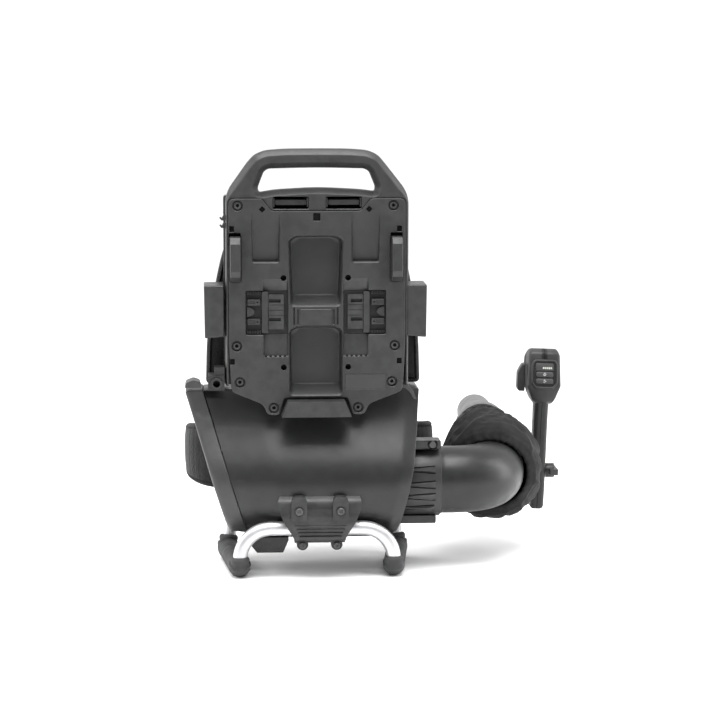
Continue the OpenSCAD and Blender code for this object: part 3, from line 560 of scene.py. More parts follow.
def screw(name, x, z, y, r, body="frame"):
    """A hex-drive screw head seen from the front, with a painted shadow disc darkening its drive hole."""
    h = turned(name, (x, y, z), (0, 1, 0), [(0.6, r), (0.0, r - 0.8), (0.0, r * 0.52), (0.5, r * 0.44),
                                            (2.2, r * 0.42), (2.6, r)], M["screw"], 32, tore=True)
    dress(h, body, bevel=0, smooth=35)
    # near-black disc at the bottom of the drive hole: painted shade
    b_ = turned(name + "_socket", (x, y + 1.9, z), (0, 1, 0), [(0, r * 0.44), (0.4, r * 0.44)], M["painted_shade"], 6)
    dress(b_, body, bevel=0)
    return h


for s in (-1, 1):
    for i, (x, z) in enumerate(SCREWS):
        screw(f"tray_screw_{side_of(s)}_{i}", s * x, z, 2.4, 5.3)
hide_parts("tray_screws")

# ---- carrying frame
fm = M["frame"]
ARCH = [(-126.5, 268), (-125.5, 538), (-94, 582), (-85, 591.5), (-71, 597.5), (-45, 599.6), (0, 600),
        (46, 599.6), (73, 597.5), (87, 591.5), (96, 581), (130.5, 537), (130, 268)]
arch_ring = rounded(ARCH, [4, 16, 12, 12, 12, 30, 60, 30, 12, 12, 12, 16, 4], 6)


def arch_level(y, dd):
    far = offset(arch_ring, dd)
    out = []
    for p_, q_ in zip(arch_ring, far):
        f = max(0.22, min(1, (p_[1] - 522) / 26))
        out.append((p_[0] + (q_[0] - p_[0]) * f, y, p_[1] + (q_[1] - p_[1]) * f))
    return out


arch = loft("carrying_frame", [arch_level(y, dd) for y, dd in
                               ((3, 9.0), (3.4, 8.0), (4.8, 6.4), (9.6, 2.0), (11.6, 0.7), (14, 0), (26, 0), (29, 1),
                                (31, 3.5))], fm)
hole = [(-78.5, 539.5), (-80, 546), (-71.5, 568), (-65, 572), (0, 573.4), (68, 572), (75, 568), (83.5, 547),
        (82.5, 540.5), (60, 543.4), (2, 546.4), (-56, 543.2)]
hr_ = rounded(hole, [3, 4, 6, 6, 30, 6, 6, 4, 3, 9, 20, 9], 5)
cuts = [loft("c", [lift(offset(hr_, dd), "y", y) for y, dd in
                   ((0, -9.4), (3.0, -8.6), (4.0, -7.6), (12.5, -2.0), (14.5, -0.9), (18, 0), (24, 0),
                    (28, -1.2), (33, -5.5))], fm)]
inner = [(-122.3, 200), (-122.3, 532.3), (-74.8, 532.3), (-60.8, 514.8), (62.8, 514.8), (76.8, 532.3),
         (126.3, 532.3), (126.3, 200)]
cuts.append(slab("c", inner, "y", -3, 33.4, fm, [1, 9, 5, 5, 5, 5, 9, 1]))
for s in (-1, 1):
    cuts.append(pit(rect(s * 37 + 2.4 - 25, s * 37 + 2.4 + 25, 516.6, 533.6), 40, fm, 2.5, 0.8, top=3.0))
carve(arch, cuts)
dress(arch, bevel=0, smooth=32)
rear = slab("frame_rear", [(-128, 268), (-128, 534), (128, 534), (128, 268)], "y", 31.2, 56, fm, 4)
cuts = [box("c", -122, 122, 36, 60, 271, 508, fm, 3), box("c", -90, 90, 30, 60, 290, 490, fm, 3)]
for s in (-1, 1):
    cuts.append(box("c", s * 12, s * 62, 20, 70, 518.2, 538, fm, 2.5))
carve(rear, cuts)
dress(rear, bevel=0, smooth=30)
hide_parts("carry_frame")
for s in (-1, 1):
    side = side_of(s)
    for q in (0, 1) if s < 0 else ():
        z0 = 489.5 + q * 10.5
        eye = [(-124, z0), (-131, z0 + 0.5), (-134, z0 + 4.5), (-131.6, z0 + 5.5), (-130.5, z0 + 3.6),
               (-128, z0 + 8), (-124, z0 + 8.5)]
        dress(slab(f"webbing_eye_{q}", eye, "y", 12, 17, fm, 0.8), bevel=0.5)
    xc = s * 37 + 2.4
    # a near-black sheet behind each strap slot: painted shade where the slot opens through
    dress(box(f"slot_back_{side}", xc - 24.6, xc + 24.6, 27, 29, 516, 534, M["painted_shade"]), bevel=0)
    dress(slab(f"slot_bar_{side}", rect(xc - 22, xc + 22, 521.5, 529.5), "y", 9, 17, fm, 2.5), bevel=1.0)
    for q in (-1, 1):
        dress(box(f"slot_cheek_{side}_{q}", xc + q * 22.4, xc + q * 24.8, 6, 20, 519, 532, fm, 1), bevel=0.5)

for finish, names, bevel, seg in (      # CAD nodes shown as they are
    ("bracket", "strap_bar_left strap_bar_right", 0, 2),
    ("screw", "bracket_screws collar_screw", 0.5, 2),
    ("bracket", "battery_hook_left battery_hook_right", 1.2, 3),
    ("tray", "battery_rest", 1.0, 2),
    ("plate", "rating_plate", 0.2, 2),
    ("frame", "side_bracket_left side_bracket_right", 2.0, 3),
    ("bracket", "power_inlet", 1.0, 2),
    ("grille", "inlet_grille", 0.5, 2),
    ("bracket", "under_guard", 1.5, 2),
    ("duct", "fan_shroud guide_vanes controller_box", 0, 2),
    ("duct", "fan_wheel", 0.3, 2),
    ("copper", "motor_stator", 0.3, 2),
    ("steel", "motor_rotor motor_shaft bearing_front bearing_rear", 0.3, 2),
    ("cover", "back_plate", 1.2, 2),
    ("damper", "vibration_dampers", 1.0, 2),
    ("tube", "tube_bracket", 1.0, 2),
    ("steel", "handle_bolt", 0.4, 2),
    ("bracket", "clamp_knob", 0.8, 2),
    ("bracket", "trigger", 1.5, 3),
):
    cad(M[finish], *names.split(), bevel=bevel, seg=seg)


# ---- fan housing
def left(z):
    return -185 + (262 - z) * 67 / 218


def right(z):
    pts = [(44, 113), (80, 121.5), (120, 130.5), (156, 138), (205, 144), (262, 148)]
    for (a, xa), (b, xb) in zip(pts, pts[1:]):
        if z <= b:
            return xa + (xb - xa) * (z - a) / (b - a)
    return pts[-1][1]


def section(d, top=262.0):
    """Outline of the housing at one station in (y, z): a front wall that sweeps out into the belly."""
    r = 80 - d
    a = Vector((33.5 + d * 0.5, top - d * 0.4))
    a0 = math.radians(180 - 24)
    e = Vector((FAN_Y + r * math.cos(a0), FAN_Z + r * math.sin(a0)))
    tan = Vector((-math.sin(a0), math.cos(a0)))
    b = a + Vector((-3, -40))
    c = e - tan * 26
    pts = []
    for i in range(18):
        t = i / 18
        pts.append(tuple((1 - t) ** 3 * a + 3 * t * (1 - t) ** 2 * b + 3 * t * t * (1 - t) * c + t ** 3 * e))
    a1 = math.radians(270)
    for i in range(46):
        q = a0 + (a1 - a0) * i / 45
        pts.append((FAN_Y + r * math.cos(q), FAN_Z + r * math.sin(q)))
    pts += [(112 - d, 45 + d), (112 - d, top - d * 0.4)]
    return pts


def shell(name, stations, x_at, mat):
    rings = []
    for t, d in stations:
        rings.append([(x_at(t, z), y, z) for y, z in section(d)])
    return loft(name, rings, mat)


def across(t, z):
    a, b = left(z) + 26, right(z)
    return a + (b - a) * t


hs = shell("fan_housing_shell", [(0, 9.0), (0.003, 8.0), (0.1, 5.6), (0.21, 1.8), (0.232, 0.9), (0.25, 0.4),
                                 (0.285, 0), (0.5, 0), (0.9, 0), (0.925, 0.2), (0.94, 1.2), (0.985, 5.0),
                                 (1.0, 7.5)], across, M["housing"])


def around_fan(x, length, r, mat, n=72):
    """A round cutter on the fan's axis."""
    return turned("c", (x, FAN_Y, FAN_Z), FAN_AXIS, [(0, r), (length, r)], mat, n)


cuts = [around_fan(100, 60, 49, M["housing"]), around_fan(-190, 108, 54, M["duct"])]
carve(hs, cuts)
dress(hs, bevel=1.2, seg=3, angle=50, smooth=30, swap=["fan_housing"])
ic = shell("inlet_cover_shell", [(0.0, 15.0), (1.0, 12.6), (3.2, 10.8), (7.5, 9.6), (24.9, 7.0), (25.7, 7.8)],
           lambda t, z: left(z) + t, M["cover"])
carve(ic, [turned("c", (left(FAN_Z) - 14, FAN_Y, 121), (0.9558, 0, 0.294), [(0, 58), (23, 58), (23, 50), (60, 50)],
                  M["cover"])])
dress(ic, bevel=1.0, seg=2, angle=50, smooth=30, swap=["inlet_cover"])
o = slab("inlet_lip", [(-184, 262.6), (-182, 270), (-172, 274), (-163, 271), (-160, 262.6)], "y", 34, 70,
         M["cover"], 2)
dress(o, bevel=1.5)
o = slab("housing_lip", [(117, 262.6), (118, 265.5), (131, 265.5), (139, 258), (144, 244), (140, 244),
                         (134, 255), (128, 260)], "y", 33, 60, M["cover"], 1.5)
dress(o, bevel=1.0)
o = rod("housing_screw", left(82) + 31, 84, 10, 14, 4.2, M["screw"], 24)
dress(o, bevel=0.6)

# outlet collar with its tapered ribs and strips of painted shadow in the gaps beside them
cm = M["bracket"]
col = turned("collar_ring", (112, FAN_Y, FAN_Z), FAN_AXIS,
             [(0, 45.1), (0, 50.2), (8, 50.4), (12, 51.6), (64.5, 51.6), (66, 50.8), (66, 46.0), (65, 45.1)],
             cm, 96, tore=True)
dress(col, bevel=0.5, smooth=30, swap=["outlet_collar"])
COLLAR_R = 50.5
for i, (th, x0, x1) in enumerate(((155, 128, 169), (179, 122, 169), (199, 120, 169), (221, 120, 168),
                                  (22, 126, 168), (-4, 126, 168), (-30, 126, 168))):
    def on_collar(x, outline, t0=math.radians(th)):
        return [(x, FAN_Y + r * math.cos(t0 + q / COLLAR_R), FAN_Z + r * math.sin(t0 + q / COLLAR_R))
                for q, r in outline]
    rings = []
    for k in range(9):
        w_ = k / 8
        x = x0 + (x1 - x0) * w_
        hw = 1.1 + 3.3 * w_
        hh = 51.9 + 3.2 * w_ ** 0.8 if k < 8 else 52.4
        rings.append(on_collar(x, ((-hw - 0.8, 49.6), (-hw, 51.6), (-hw + 0.9, hh - 0.4), (-hw + 1.3, hh),
                                   (hw - 1.3, hh), (hw - 0.9, hh - 0.4), (hw, 51.6), (hw + 0.8, 49.6))))
    dress(loft(f"collar_rib_{i}", rings, cm), bevel=0.2, seg=1, smooth=30)
    # near-black strips beside each rib: painted shadow in the gaps
    for q0 in (-1, 1):
        gap = []
        for k in range(9):
            w_ = k / 8
            x = x0 + (x1 - x0) * w_
            hw = (2.0 + 3.4 * w_) * q0
            gap.append(on_collar(x, ((hw - 0.7, 50.0), (hw + 0.7, 50.0), (hw + 0.7, 51.8), (hw - 0.7, 51.8))))
        dress(loft(f"collar_gap_{i}_{'a' if q0 < 0 else 'b'}", gap, M["painted_shade"]), bevel=0)
top = box("collar_flange_top", 136, 178, 20, 52, 174, 187, cm, 3)
carve(top, [rod("c", 166, 181, 10, 22, 6.4, cm), around_fan(100, 90, 50, cm)])
dress(top, bevel=1.4, seg=3)
low = box("collar_flange_low", 118, 172, 30, 74, 66, 78, cm, 3)
carve(low, [around_fan(100, 90, 50, cm)])
dress(low, bevel=1.4, seg=3)

# ---- stand
bar = fillet([(-110, 148, 120), (-124, 130, 14), (-108, -18, 14), (-108, -18, 70), (108, -18, 70),
              (108, -18, 14), (124, 130, 14), (110, 148, 120)], [16, 11, 44, 44, 11, 16], 16)
o = sweep("stand_bar", resample(bar, 12), 10, M["alu"], 40)
dress(o, bevel=0, swap=["stand_tube"])
for s in (-1, 1):
    side = side_of(s)
    path = fillet([(s * 108, -18, 30), (s * 108, -18, 15), (s * 123.8, 129.5, 15), (s * 122, 132.6, 34)],
                  [12, 12], 10)
    path = resample(path, 3.0)

    def bulge(t):
        m = min(t, 1 - t)
        if m < 0.012:
            return 11.6
        if m < 0.035:
            return 13.6
        if m < 0.06:
            return 12.9
        return 15.0 + 0.5 * math.sin(math.pi * min(1, m * 5)) - (0.25 if int(t * 46) % 2 else 0)
    o = sweep(f"boot_{side}", path, bulge, M["rubber"], 40,
              shape=lambda q: (q.x, q.y, max(0.0, q.z)))
    dress(o, bevel=0.4, smooth=60, swap=[f"foot_{side}"])

bm_ = M["bracket"]
br = slab("clamp_bracket", [(-36, 58), (-38.5, 76), (-38, 92), (-31, 111), (-20, 119), (4, 112), (12, 60),
                            (2, 50), (-24, 50)], "x", -60, 66, bm_, 4)
tr = slab("c", [(-50, 121), (57, 121), (62, 112), (61.5, 101), (54, 82), (40, 60), (37, 40), (-30, 40),
                (-33, 60), (-47, 82), (-54.5, 101), (-55, 112)], "y", -60, 30, bm_, 6)
carve(br, [tr], "INTERSECT")
cuts = [around_fan(-150, 300, 79.6, bm_, 96), slab("c", rect(-14, 21, 100, 118), "y", -50, -34.5, bm_, 4)]
carve(br, cuts)
dress(br, bevel=0, smooth=24, swap=["stand_bracket"])
for s in (-1, 1):
    side = side_of(s)
    x = 3.5 + s * 29
    dress(carve(slab(f"clamp_boss_{side}", [(x - 11, 84), (x + 11, 84), (x + 11, 112), (x + 7, 118), (x - 7, 118),
                                      (x - 11, 112)], "y", -41, -20, bm_, 3),
                [rod("c", x, 98, -50, -40.2, 7.2, bm_)]), bevel=0, smooth=28)
    screw(f"clamp_screw_{side}", x, 98, -45.2, 5.0)
    screw(f"clamp_ear_screw_{side}", 3.5 + s * 24, 47.6, -30.2, 4.2)
    dress(rod(f"clamp_ear_{side}", 3.5 + s * 24, 48, -26, -6, 8, bm_), bevel=1.0, seg=3)
for i in range(4):
    z = 60.5 + i * 5.2
    w = 29 + i * 2.2
    dress(slab(f"clamp_rib_{i}", rect(4.5 - w, 4.5 + w, z - 1.3, z + 1.3), "y", -40.0, -30, bm_, 1.0), bevel=0.7)

# ---- elbow, hose, sleeve, tube
arm = "elbow_arm"
path = [Vector((146, FAN_Y, FAN_Z)), Vector((178, FAN_Y, FAN_Z))]
path += [Vector((192 + 68 * math.sin(a), 124 - 68 * math.cos(a), 125))
         for a in [math.radians(90) * i / 24 for i in range(25)]]
path.append(Vector((260, 140, 125)))
path = resample(path, 3.0)


def elbow_r(t):
    return 45 if t < 0.165 else 49.6 if t < 0.2 else 48


o = sweep("elbow_shell", path, elbow_r, M["elbow"], 72)
dress(o, arm, bevel=0.8, smooth=35, swap=["elbow"])
ax0, ax1 = Vector((260, 136, 125)), Vector((262, 222, 163))
path = [ax0.lerp(ax1, i / 88) + Vector((0, 0, -6 * math.sin(math.pi * i / 88))) for i in range(89)]
o = sweep("hose_corrugated", path, lambda t: 50.5 if t < 0.1 else 39 if t > 0.93 else
          41.5 + 2.6 * math.sin(2 * math.pi * t * 12), M["hose"], 64)
dress(o, None, bevel=0, smooth=80, swap=["hose_bellows"])
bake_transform(o)

# fabric sleeve, gathered at both ends
SLEEVE_L = 150
prof = [(0, 54.0), (3, 58), (9, 64.5), (18, 68), (30, 69.5), (45, 69), (60, 67), (78, 63.4), (95, 59.6),
        (108, 56.5), (120, 53), (130, 49.4), (138, 45.8), (144, 43.2), (SLEEVE_L, 42)]
ydir = Vector((math.sin(math.radians(1.6)) * math.cos(math.radians(16.8)),
               math.cos(math.radians(1.6)) * math.cos(math.radians(16.8)), math.sin(math.radians(16.8))))
d, u, v = basis(ydir)
s0 = Vector((258.5, 112, 122))


def base_r(t):
    for (a, ra), (b, rb) in zip(prof, prof[1:]):
        if t <= b:
            w = (t - a) / (b - a)
            return ra + (rb - ra) * w
    return prof[-1][1]


def plain_ring(t, r):
    return [tuple(s0 + d * t + (u * math.cos(2 * math.pi * j / NA) + v * math.sin(2 * math.pi * j / NA)) * r)
            for j in range(NA)]


NT, NA = 84, 200
rings = [plain_ring(18, 61), plain_ring(3, 54.5)]
for i in range(NT):
    t = SLEEVE_L * i / (NT - 1)
    ring = []
    edge = min(t, SLEEVE_L - t)
    for j in range(NA):
        a = 2 * math.pi * j / NA
        p = Vector((math.cos(a) * 2.1, math.sin(a) * 2.1, t / 55))
        warp = noise.noise(p * 0.9)
        fold = noise.noise(Vector((math.cos(a + t / 95) * 2.3 + warp, math.sin(a + t / 95) * 2.3 - warp, t / 110)))
        crease = noise.noise(Vector((math.cos(a) * 1.1 + 9, math.sin(a) * 1.1, t / 34 + warp * 1.2)))
        fine = noise.noise(Vector((math.cos(a) * 5 + warp, math.sin(a) * 5 + 4, t / 30 + warp)))
        k = min(1, edge / 14)
        r = base_r(t) + k * (2.9 * (0.55 - abs(fold) * 3.0) + 1.5 * (0.4 - abs(crease) * 2.4) + 0.3 * fine)
        gather = math.exp(-((SLEEVE_L - t) / 16) ** 2) * 0.9 + math.exp(-(t / 10) ** 2) * 0.8
        r += gather * math.sin(a * 30 + 5 * warp)
        if edge < 5:
            r += 0.9 * math.sin(math.pi * edge / 5)
        sag = math.sin(math.pi * min(1, t / 118)) ** 0.8 * max(0, -math.sin(a)) ** 1.4
        side_ = math.sin(math.pi * min(1, t / 124)) ** 0.9 * max(0, math.cos(a + 0.35)) ** 1.6
        q = s0 + d * t + (u * math.cos(a) + v * math.sin(a)) * (r + 21 * sag + 14 * side_)
        lim = 202 + (q.y - 189) * 0.42      # leaves room for the right hip wing
        if q.y > 172 and 70 < q.z < 218 and q.x < lim:
            w_ = min(1, (q.y - 172) / 12, (q.z - 70) / 12, (218 - q.z) / 12)
            q.x += (lim - q.x) * w_
        ring.append(tuple(q))
    rings.append(ring)
rings += [plain_ring(146, 38.6), plain_ring(130, 43.5)]
sleeve = loft("fabric_sleeve", rings, M["sleeve"], caps=False)
dress(sleeve, None, bevel=0, smooth=180, swap=["hose_sleeve"])
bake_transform(sleeve)

td = Vector((0.01567, 0.99768, 0.06627))
t0 = Vector((262, 224, 163))
o = turned("air_tube", t0, td,
           [(0, 35), (8, 35), (9, 36.2), (14, 36.2), (15, 35), (76, 35), (80, 33.6), (84, 33), (128, 27.2),
            (132, 27), (172, 27), (175, 26.6), (176, 26), (176, 25.2), (130, 25), (80, 31), (0, 33)],
           M["tube"], 96, tore=True)
dress(o, "nozzle", bevel=0.3, smooth=35, swap=["blower_tube"])


# ---- handle
def H(x, y, z):
    a = math.radians(2.2)
    return (349.0 + x * math.cos(a) + z * math.sin(a), 276 + y, 100 - x * math.sin(a) + z * math.cos(a))


def face(uu, vv, w):
    a = math.radians(13)
    return H(uu, -31.2 + vv * math.sin(a) - w * math.cos(a), 150 + vv * math.cos(a) + w * math.sin(a))


hm = M["handle"]
GRIP = [(-12, -58), (-15, -50), (-17, -10), (-16, 30), (-15, 70), (-17, 98), (-28, 114), (-34, 132), (-22, 184),
        (-8, 188), (20, 184), (30, 160), (30, 126), (22, 106), (16, 96), (15, 60), (17, 20), (17, -40), (12, -58)]
side_r = [6, 12, 20, 20, 20, 12, 10, 4, 5, 6, 10, 12, 12, 8, 10, 20, 20, 12, 6]
ring = rounded(GRIP, side_r, 5)


def blown(name, ring, half, e, mat):
    """A pillowed slab: the outline shrinks towards both faces."""
    lv = [(-half + e * (1 - math.cos(a)), e * (1 - math.sin(a))) for a in [math.pi / 2 * k / 8 for k in range(9)]]
    lv += [(-x, dd) for x, dd in reversed(lv)]
    return loft(name, [[H(x, y, z) for y, z in offset(ring, dd)] for x, dd in lv], mat)


grip = blown("handle_body", ring, 10.6, 6.5, hm)
HEAD = [(-30, 110), (-34, 132), (-22, 184), (-8, 188), (20, 184), (30, 160), (30, 126), (22, 106), (-18, 104)]
hr = rounded(HEAD, [8, 4, 5, 6, 10, 12, 12, 8, 10], 5)
rings = []
for x, dd in ((-25.5, 5), (-25.2, 3.2), (-24.4, 1.6), (-23.2, 0.6), (-21.5, 0), (21.5, 0), (23.2, 0.6),
              (24.4, 1.6), (25.2, 3.2), (25.5, 5)):
    rr = []
    for y, z in offset(hr, dd):
        lim = 1.0
        if z < 134:
            lim = 0.45 + 0.55 * max(0, min(1, (z - 100) / 34)) ** 0.8
        if z > 172:
            lim = min(lim, 1.0 - 0.012 * (z - 172))
        rr.append(H(x * lim, y, z))
    rings.append(rr)
head = loft("handle_head", rings, hm)
dress(grip, "handle", bevel=0, smooth=60, swap=["handle_shell_left", "handle_shell_right"])
dress(head, "handle", bevel=0.4, smooth=60)
# a thin near-black sheet along the shells' parting line: painted shade in the seam
dress(loft("handle_seam_shade", [[H(x, y, z) for y, z in offset(ring, -0.1)] for x in (-0.35, 0.35)], M["painted_shade"]),
      "handle", bevel=0)
LEVER = rounded([(-25.9, 163), (-30.5, 163), (-35, 155), (-37.4, 149), (-37.4, 126), (-35, 121.5), (-25.9, 121.5)],
                [0.6, 2, 4, 3, 3, 2, 0.6], 4)
lev = loft("cruise_plate", [[H(x, y, z) for x, z in offset(LEVER, dd)] for y, dd in
                            ((-6, 1.4), (-5.6, 0.6), (-4.6, 0), (12.6, 0), (13.6, 0.6), (14, 1.4))], M["bracket"])
carve(lev, [loft("c", [[H(x, y, z0 + z) for x, z in ((-40, -0.7), (-36.4, -0.3), (-36.4, 0.3), (-40, 0.7))]
                       for y in (-9, 17)], M["bracket"]) for z0 in (129, 133, 137)])
dress(lev, "cruise", bevel=0, smooth=35, swap=["cruise_lever"])
# raised bezel round the dark keypad, capsule keys and the charge display
OCT = [(-14.5, -21), (14.5, -21), (20.5, -12), (20.5, 16), (16, 23.5), (-16, 23.5), (-20.5, 16), (-20.5, -12)]
ro = rounded(OCT, 4, 4)
bz = loft("keypad_bezel", [[face(a, b, w) for a, b in offset(ro, dd)] for dd, w in
                           ((0.4, -2.4), (0, 0.2), (0.5, 1.6), (1.6, 2.3), (2.8, 1.9), (3.4, 0.4), (3.4, -2.4))], hm,
          tore=True)
dress(bz, "handle", bevel=0, smooth=60)
dress(loft("keypad_plate", [[face(a, b, w) for a, b in offset(ro, 3.3)] for w in (-1.6, 0.7)], M["keypad"]), "handle",
      bevel=0.3, swap=["keypad_panel"])
dress(loft("display_window", [[face(a, b, w) for a, b in offset(rounded(rect(-13.4, 13.4, 6.6, 17.6), 1.6, 4), dd)]
                              for dd, w in ((0, 0.5), (0, 1.1), (0.5, 1.3))], M["key"]), "handle", bevel=0)
for nm, vv in (("power", 0.6), ("boost", -9.6)):
    q_ = rounded(rect(-13.2, 13.2, vv - 4.1, vv + 4.1), 3.6, 6)
    dress(loft(f"{nm}_key_cap", [[face(a, b, w) for a, b in offset(q_, dd)] for dd, w in
                                 ((0, 0.2), (0, 1.5), (0.3, 2.1), (1.0, 2.5))], M["key"]), f"{nm}_key", bevel=0,
          smooth=50, swap=[f"{nm}_button"])
for i in range(5):
    z0 = 9.0
    u0 = -3.0 + i * 2.9
    verts = [face(a, b, c) for c in (1.0, 1.5) for b in (z0, z0 + 3.0) for a in (u0, u0 + 2.2)]
    dress(mesh(f"charge_lamp_{i}", verts, BOX_FACES, M["amber"]), "handle", bevel=0.15, seg=1)


def arc_icon(name, u0, v0, r, w, a0, a1, h, body):
    angles = [a0 + (a1 - a0) * i / 20 for i in range(21)]
    pts = [(u0 + (r + w / 2) * math.cos(a), v0 + (r + w / 2) * math.sin(a)) for a in angles]
    pts += [(u0 + (r - w / 2) * math.cos(a), v0 + (r - w / 2) * math.sin(a)) for a in reversed(angles)]
    rings = [[face(a, b, h) for a, b in pts], [face(a, b, h + 0.12) for a, b in pts]]
    dress(loft(name, rings, M["icon"]), body, bevel=0)


arc_icon("icon_power_ring", 0, 0.5, 1.7, 0.5, math.radians(125), math.radians(415), 2.5, "power_key")
arc_icon("icon_power_bar", 0, 0.9, 1.2, 2.2, math.radians(78), math.radians(102), 2.5, "power_key")
for i in range(3):
    a = math.radians(90 + 120 * i)
    arc_icon(f"icon_boost_{i}", 0.9 * math.cos(a), -9.6 + 0.9 * math.sin(a), 1.0, 0.55, a - 0.4, a + 2.2, 2.5,
             "boost_key")


# ---- harness
def cushion(name, pts, w0, w1, mat, r, seam):
    """A padded panel: round edges, a sewn channel near the rim and a crowned middle."""
    base = rounded(pts, r, 6)
    dense = []
    for i, p in enumerate(base):
        q = base[(i + 1) % len(base)]
        a, b = Vector(p), Vector(q)
        m = max(1, int((b - a).length / 7))
        dense += [tuple(a.lerp(b, j / m)) for j in range(m)]
    mid, half = (w0 + w1) / 2, (w1 - w0) / 2
    prof = [(0.0, 0.0), (0.5, 0.35), (1.6, 0.62), (3.2, 0.82), (5.5, 0.94), (seam - 3, 0.97), (seam - 1, 0.80),
            (seam, 0.68), (seam + 1, 0.80), (seam + 3.5, 0.96)]
    up = [(dd, mid - half * h) for dd, h in reversed(prof)]
    dn = [(dd, mid + half * h) for dd, h in prof[1:]]
    rings = [lift(offset(dense, dd), "y", w) for dd, w in up + dn]
    # a smaller crowned field inside each sewn channel
    c = [(p[0], p[1]) for p in offset(dense, seam + 3.5)]
    cx = sum(p[0] for p in c) / len(c)
    cz = sum(p[1] for p in c) / len(c)
    first, last = [], []
    for f, h in ((0.9, 1.0), (0.75, 1.04), (0.55, 1.07), (0.3, 1.09)):
        rr = [(cx + (p[0] - cx) * f, cz + (p[1] - cz) * f) for p in c]
        first.append(lift(rr, "y", mid - half * h))
        last.append(lift(rr, "y", mid + half * h))
    return loft(name, list(reversed(first)) + rings + last, mat)


def soft(o, body="frame", swap=()):
    for v_ in o.data.vertices:
        c = v_.co
        n_ = noise.noise(Vector((c.x * 22, c.y * 22, c.z * 22))) * 0.0011
        v_.co = c + Vector((0, n_, n_ * 0.4))
    dress(o, body, bevel=0, smooth=180, swap=swap)


PAD = [(-154, 263), (-152, 335), (-138, 415), (-130, 450), (-110, 505), (110, 505), (130, 450), (138, 415),
       (150, 335), (152, 263), (121, 263), (121, 340), (-121, 340), (-121, 263)]
bp = cushion("back_cushion", PAD, 69.5, 90, M["pad"], [8, 30, 30, 30, 24, 24, 30, 30, 30, 8, 6, 8, 8, 6], 7)
soft(bp, swap=["back_pad"])
lp = cushion("lumbar_cushion", [(-96, 76), (-90, 150), (-96, 226), (96, 226), (90, 150), (96, 76)], 150.5, 173,
             M["pad"], [18, 30, 18, 18, 30, 18], 12)
soft(lp, swap=["lumbar_pad"])


def strap_loft(name, path, lateral, half_w, thick, mat, taper, seam=0.78):
    """A padded strap along path: rounded section with sewn edges."""
    line = [Vector(p) for p in path]
    for _ in range(4):
        cut = [line[0]]
        for a, b in zip(line, line[1:]):
            cut += [a.lerp(b, 0.25), a.lerp(b, 0.75)]
        line = cut + [line[-1]]
    pts = resample(line, 5)
    n = len(pts)
    rings = []
    lat = Vector(lateral).normalized()
    for i, p in enumerate(pts):
        a, b = pts[max(0, i - 1)], pts[min(n - 1, i + 1)]
        d_ = (b - a).normalized()
        nn = d_.cross(lat).normalized()
        t = i / (n - 1)
        hw = half_w * taper(t)
        end = min(1, min(i, n - 1 - i) / 2.0)
        th = thick / 2 * (0.35 + 0.65 * math.sqrt(end))
        hw *= 0.93 + 0.07 * end
        stitch = 1 - 0.05 * (1 if i % 6 == 0 else 0)
        row = []
        half = [(-1.0, 0.0), (-0.985, 0.38), (-0.94, 0.68), (-0.87, 0.86), (-seam - 0.03, 0.86), (-seam, 0.66),
                (-seam + 0.03, 0.86), (-0.5, 0.99), (-0.25, 1.03), (0, 1.04), (0.25, 1.03), (0.5, 0.99),
                (seam - 0.03, 0.86), (seam, 0.66), (seam + 0.03, 0.86), (0.87, 0.86), (0.94, 0.68), (0.985, 0.38),
                (1.0, 0.0)]
        for q, h in half:
            row.append(tuple(p + lat * (q * hw) + nn * (h * th * stitch)))
        for q, h in reversed(half[1:-1]):
            row.append(tuple(p + lat * (q * hw) - nn * (h * th * stitch)))
        rings.append(row)
    return loft(name, rings, mat)


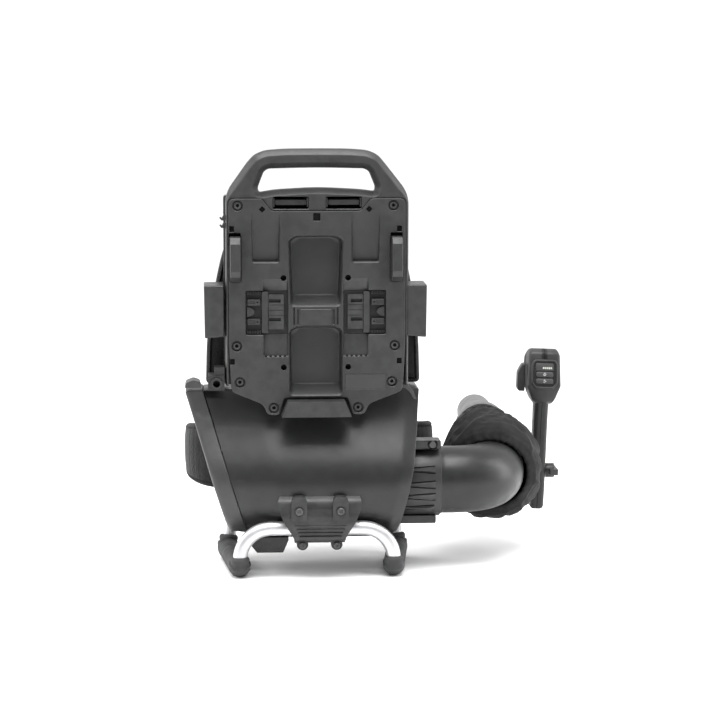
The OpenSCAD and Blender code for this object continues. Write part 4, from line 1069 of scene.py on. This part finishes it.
YOKE = [(99.5, 436), (104, 466), (126, 490), (162, 498), (204, 486), (233, 450), (242, 398), (234, 344), (216, 300),
        (203, 274)]
for s in (-1, 1):
    side = side_of(s)
    o = strap_loft(f"shoulder_cushion_{side}", [(s * 75, y, z) for y, z in YOKE], (1, 0, 0), 28.5, 13.6, M["strap"],
                   lambda t: 1.0 - 0.28 * max(0, (t - 0.55) / 0.45) ** 1.5)
    soft(o, swap=[f"shoulder_strap_{side}"])
    wp = [(204, 280), (202, 262), (192, 247), (176, 238), (152.5, 235)]
    pts = resample(fillet([(s * 75, y, z) for y, z in wp], 8, 5), 2.0)
    rings = []
    for i, p in enumerate(pts):
        a, b = pts[max(0, i - 1)], pts[min(len(pts) - 1, i + 1)]
        nn = (b - a).normalized().cross(Vector((1, 0, 0))).normalized()
        row = []
        for q, h in ((-13, -1), (-12.5, -1.25), (0, -1.25 + 0.15 * (i % 2)), (12.5, -1.25), (13, -1), (13, 1),
                     (12.5, 1.25), (0, 1.25 - 0.15 * (i % 2)), (-12.5, 1.25), (-13, 1)):
            row.append(tuple(p + Vector((q, 0, 0)) + nn * h))
        rings.append(row)
    o = loft(f"webbing_{side}", rings, M["web"])
    dress(o, bevel=0, smooth=60, swap=[f"strap_webbing_{side}"])
    # ladder-lock buckle
    bd = Vector((0, 7, 16)).normalized()
    bn = bd.cross(Vector((1, 0, 0))).normalized()
    bc = Vector((s * 75, 200.5, 264))

    def at_b(q, w):
        return [tuple(bc + Vector((a, 0, 0)) + bd * b + bn * w) for a, b in q]
    parts = []
    for x0, x1, z0, z1 in ((-18, 18, -9.5, -6.4), (-18, 18, -1.4, 1.6), (-18, 18, 6.4, 9.5), (-18, -14, -9.5, 9.5),
                           (14, 18, -9.5, 9.5)):
        q = rounded(rect(x0, x1, z0, z1), 1.0, 2)
        parts.append(loft("c", [at_b(q, -3.2), at_b(q, 3.2)], M["bracket"]))
    first = parts[0]
    first.name = f"buckle_{side}"
    with bpy.context.temp_override(active_object=first, selected_editable_objects=parts, object=first,
                                   selected_objects=parts):
        bpy.ops.object.join()
    dress(first, bevel=0.6)
    # hip pad: padded wing that follows the wearer's side
    wing = [(s * x, y, 144) for x, y in ((107, 171), (140, 174), (163, 190), (176, 220), (177.5, 254))]
    hp = strap_loft(f"hip_cushion_{side}", wing, (0, 0, 1), 50.5, 17, M["pad"], lambda t: 1.0 - 0.30 * t ** 1.6,
                    seam=0.84)
    soft(hp, body=f"hip_{side}", swap=[f"hip_pad_{side}"])

# ---- floor and light
FLOOR = 60000
floor = mesh("floor", [(-FLOOR, -FLOOR, -0.1), (FLOOR, -FLOOR, -0.1), (FLOOR, FLOOR, -0.1), (-FLOOR, FLOOR, -0.1)],
             [(0, 1, 2, 3)], shade("floor_paint", (0.95, 0.95, 0.95), (0.97, 0.97, 0.97), 0.85, 0.03, 40, 0.0,
                                   patch=2, spec=0.2))


def lamp(name, x, y, z, w, h, power, tx, ty, tz):
    la = bpy.data.lights.new(name, "AREA")
    la.shape = "RECTANGLE"
    la.size = w
    la.size_y = h
    la.energy = power
    o_ = bpy.data.objects.new(name, la)
    bpy.context.collection.objects.link(o_)
    o_.location = P(x, y, z)
    o_.rotation_euler = (P(tx, ty, tz) - o_.location).to_track_quat("-Z", "Y").to_euler()


lamp("key_top", -100, -500, 2400, 2.4, 1.5, 105, 20, 40, 300)
lamp("left_strip", -2100, 200, 900, 0.7, 2.0, 30, 0, 60, 300)
lamp("right_strip", 2200, 200, 900, 0.7, 2.0, 30, 60, 80, 280)
world = bpy.data.worlds.new("studio")
bpy.context.scene.world = world
world.use_nodes = True
wt = world.node_tree
split = add(wt, "SeparateXYZ", {0: add(wt, "TexCoord").outputs["Generated"]})
lean = add(wt, "Math", {0: split.outputs["Z"], 2: split.outputs["Y"]})
lean.operation = "MULTIPLY_ADD"
lean.inputs[1].default_value = 0.85
soft_box = add(wt, "MapRange", {"Value": lean.outputs[0]}, From_Min=-0.92, From_Max=0.15, To_Min=0.22, To_Max=1.17)
wt.links.new(soft_box.outputs["Result"], wt.nodes["Background"].inputs["Strength"])
wt.nodes["Background"].inputs["Color"].default_value = (1, 1, 1, 1)
bpy.context.scene.view_settings.view_transform = "Standard"
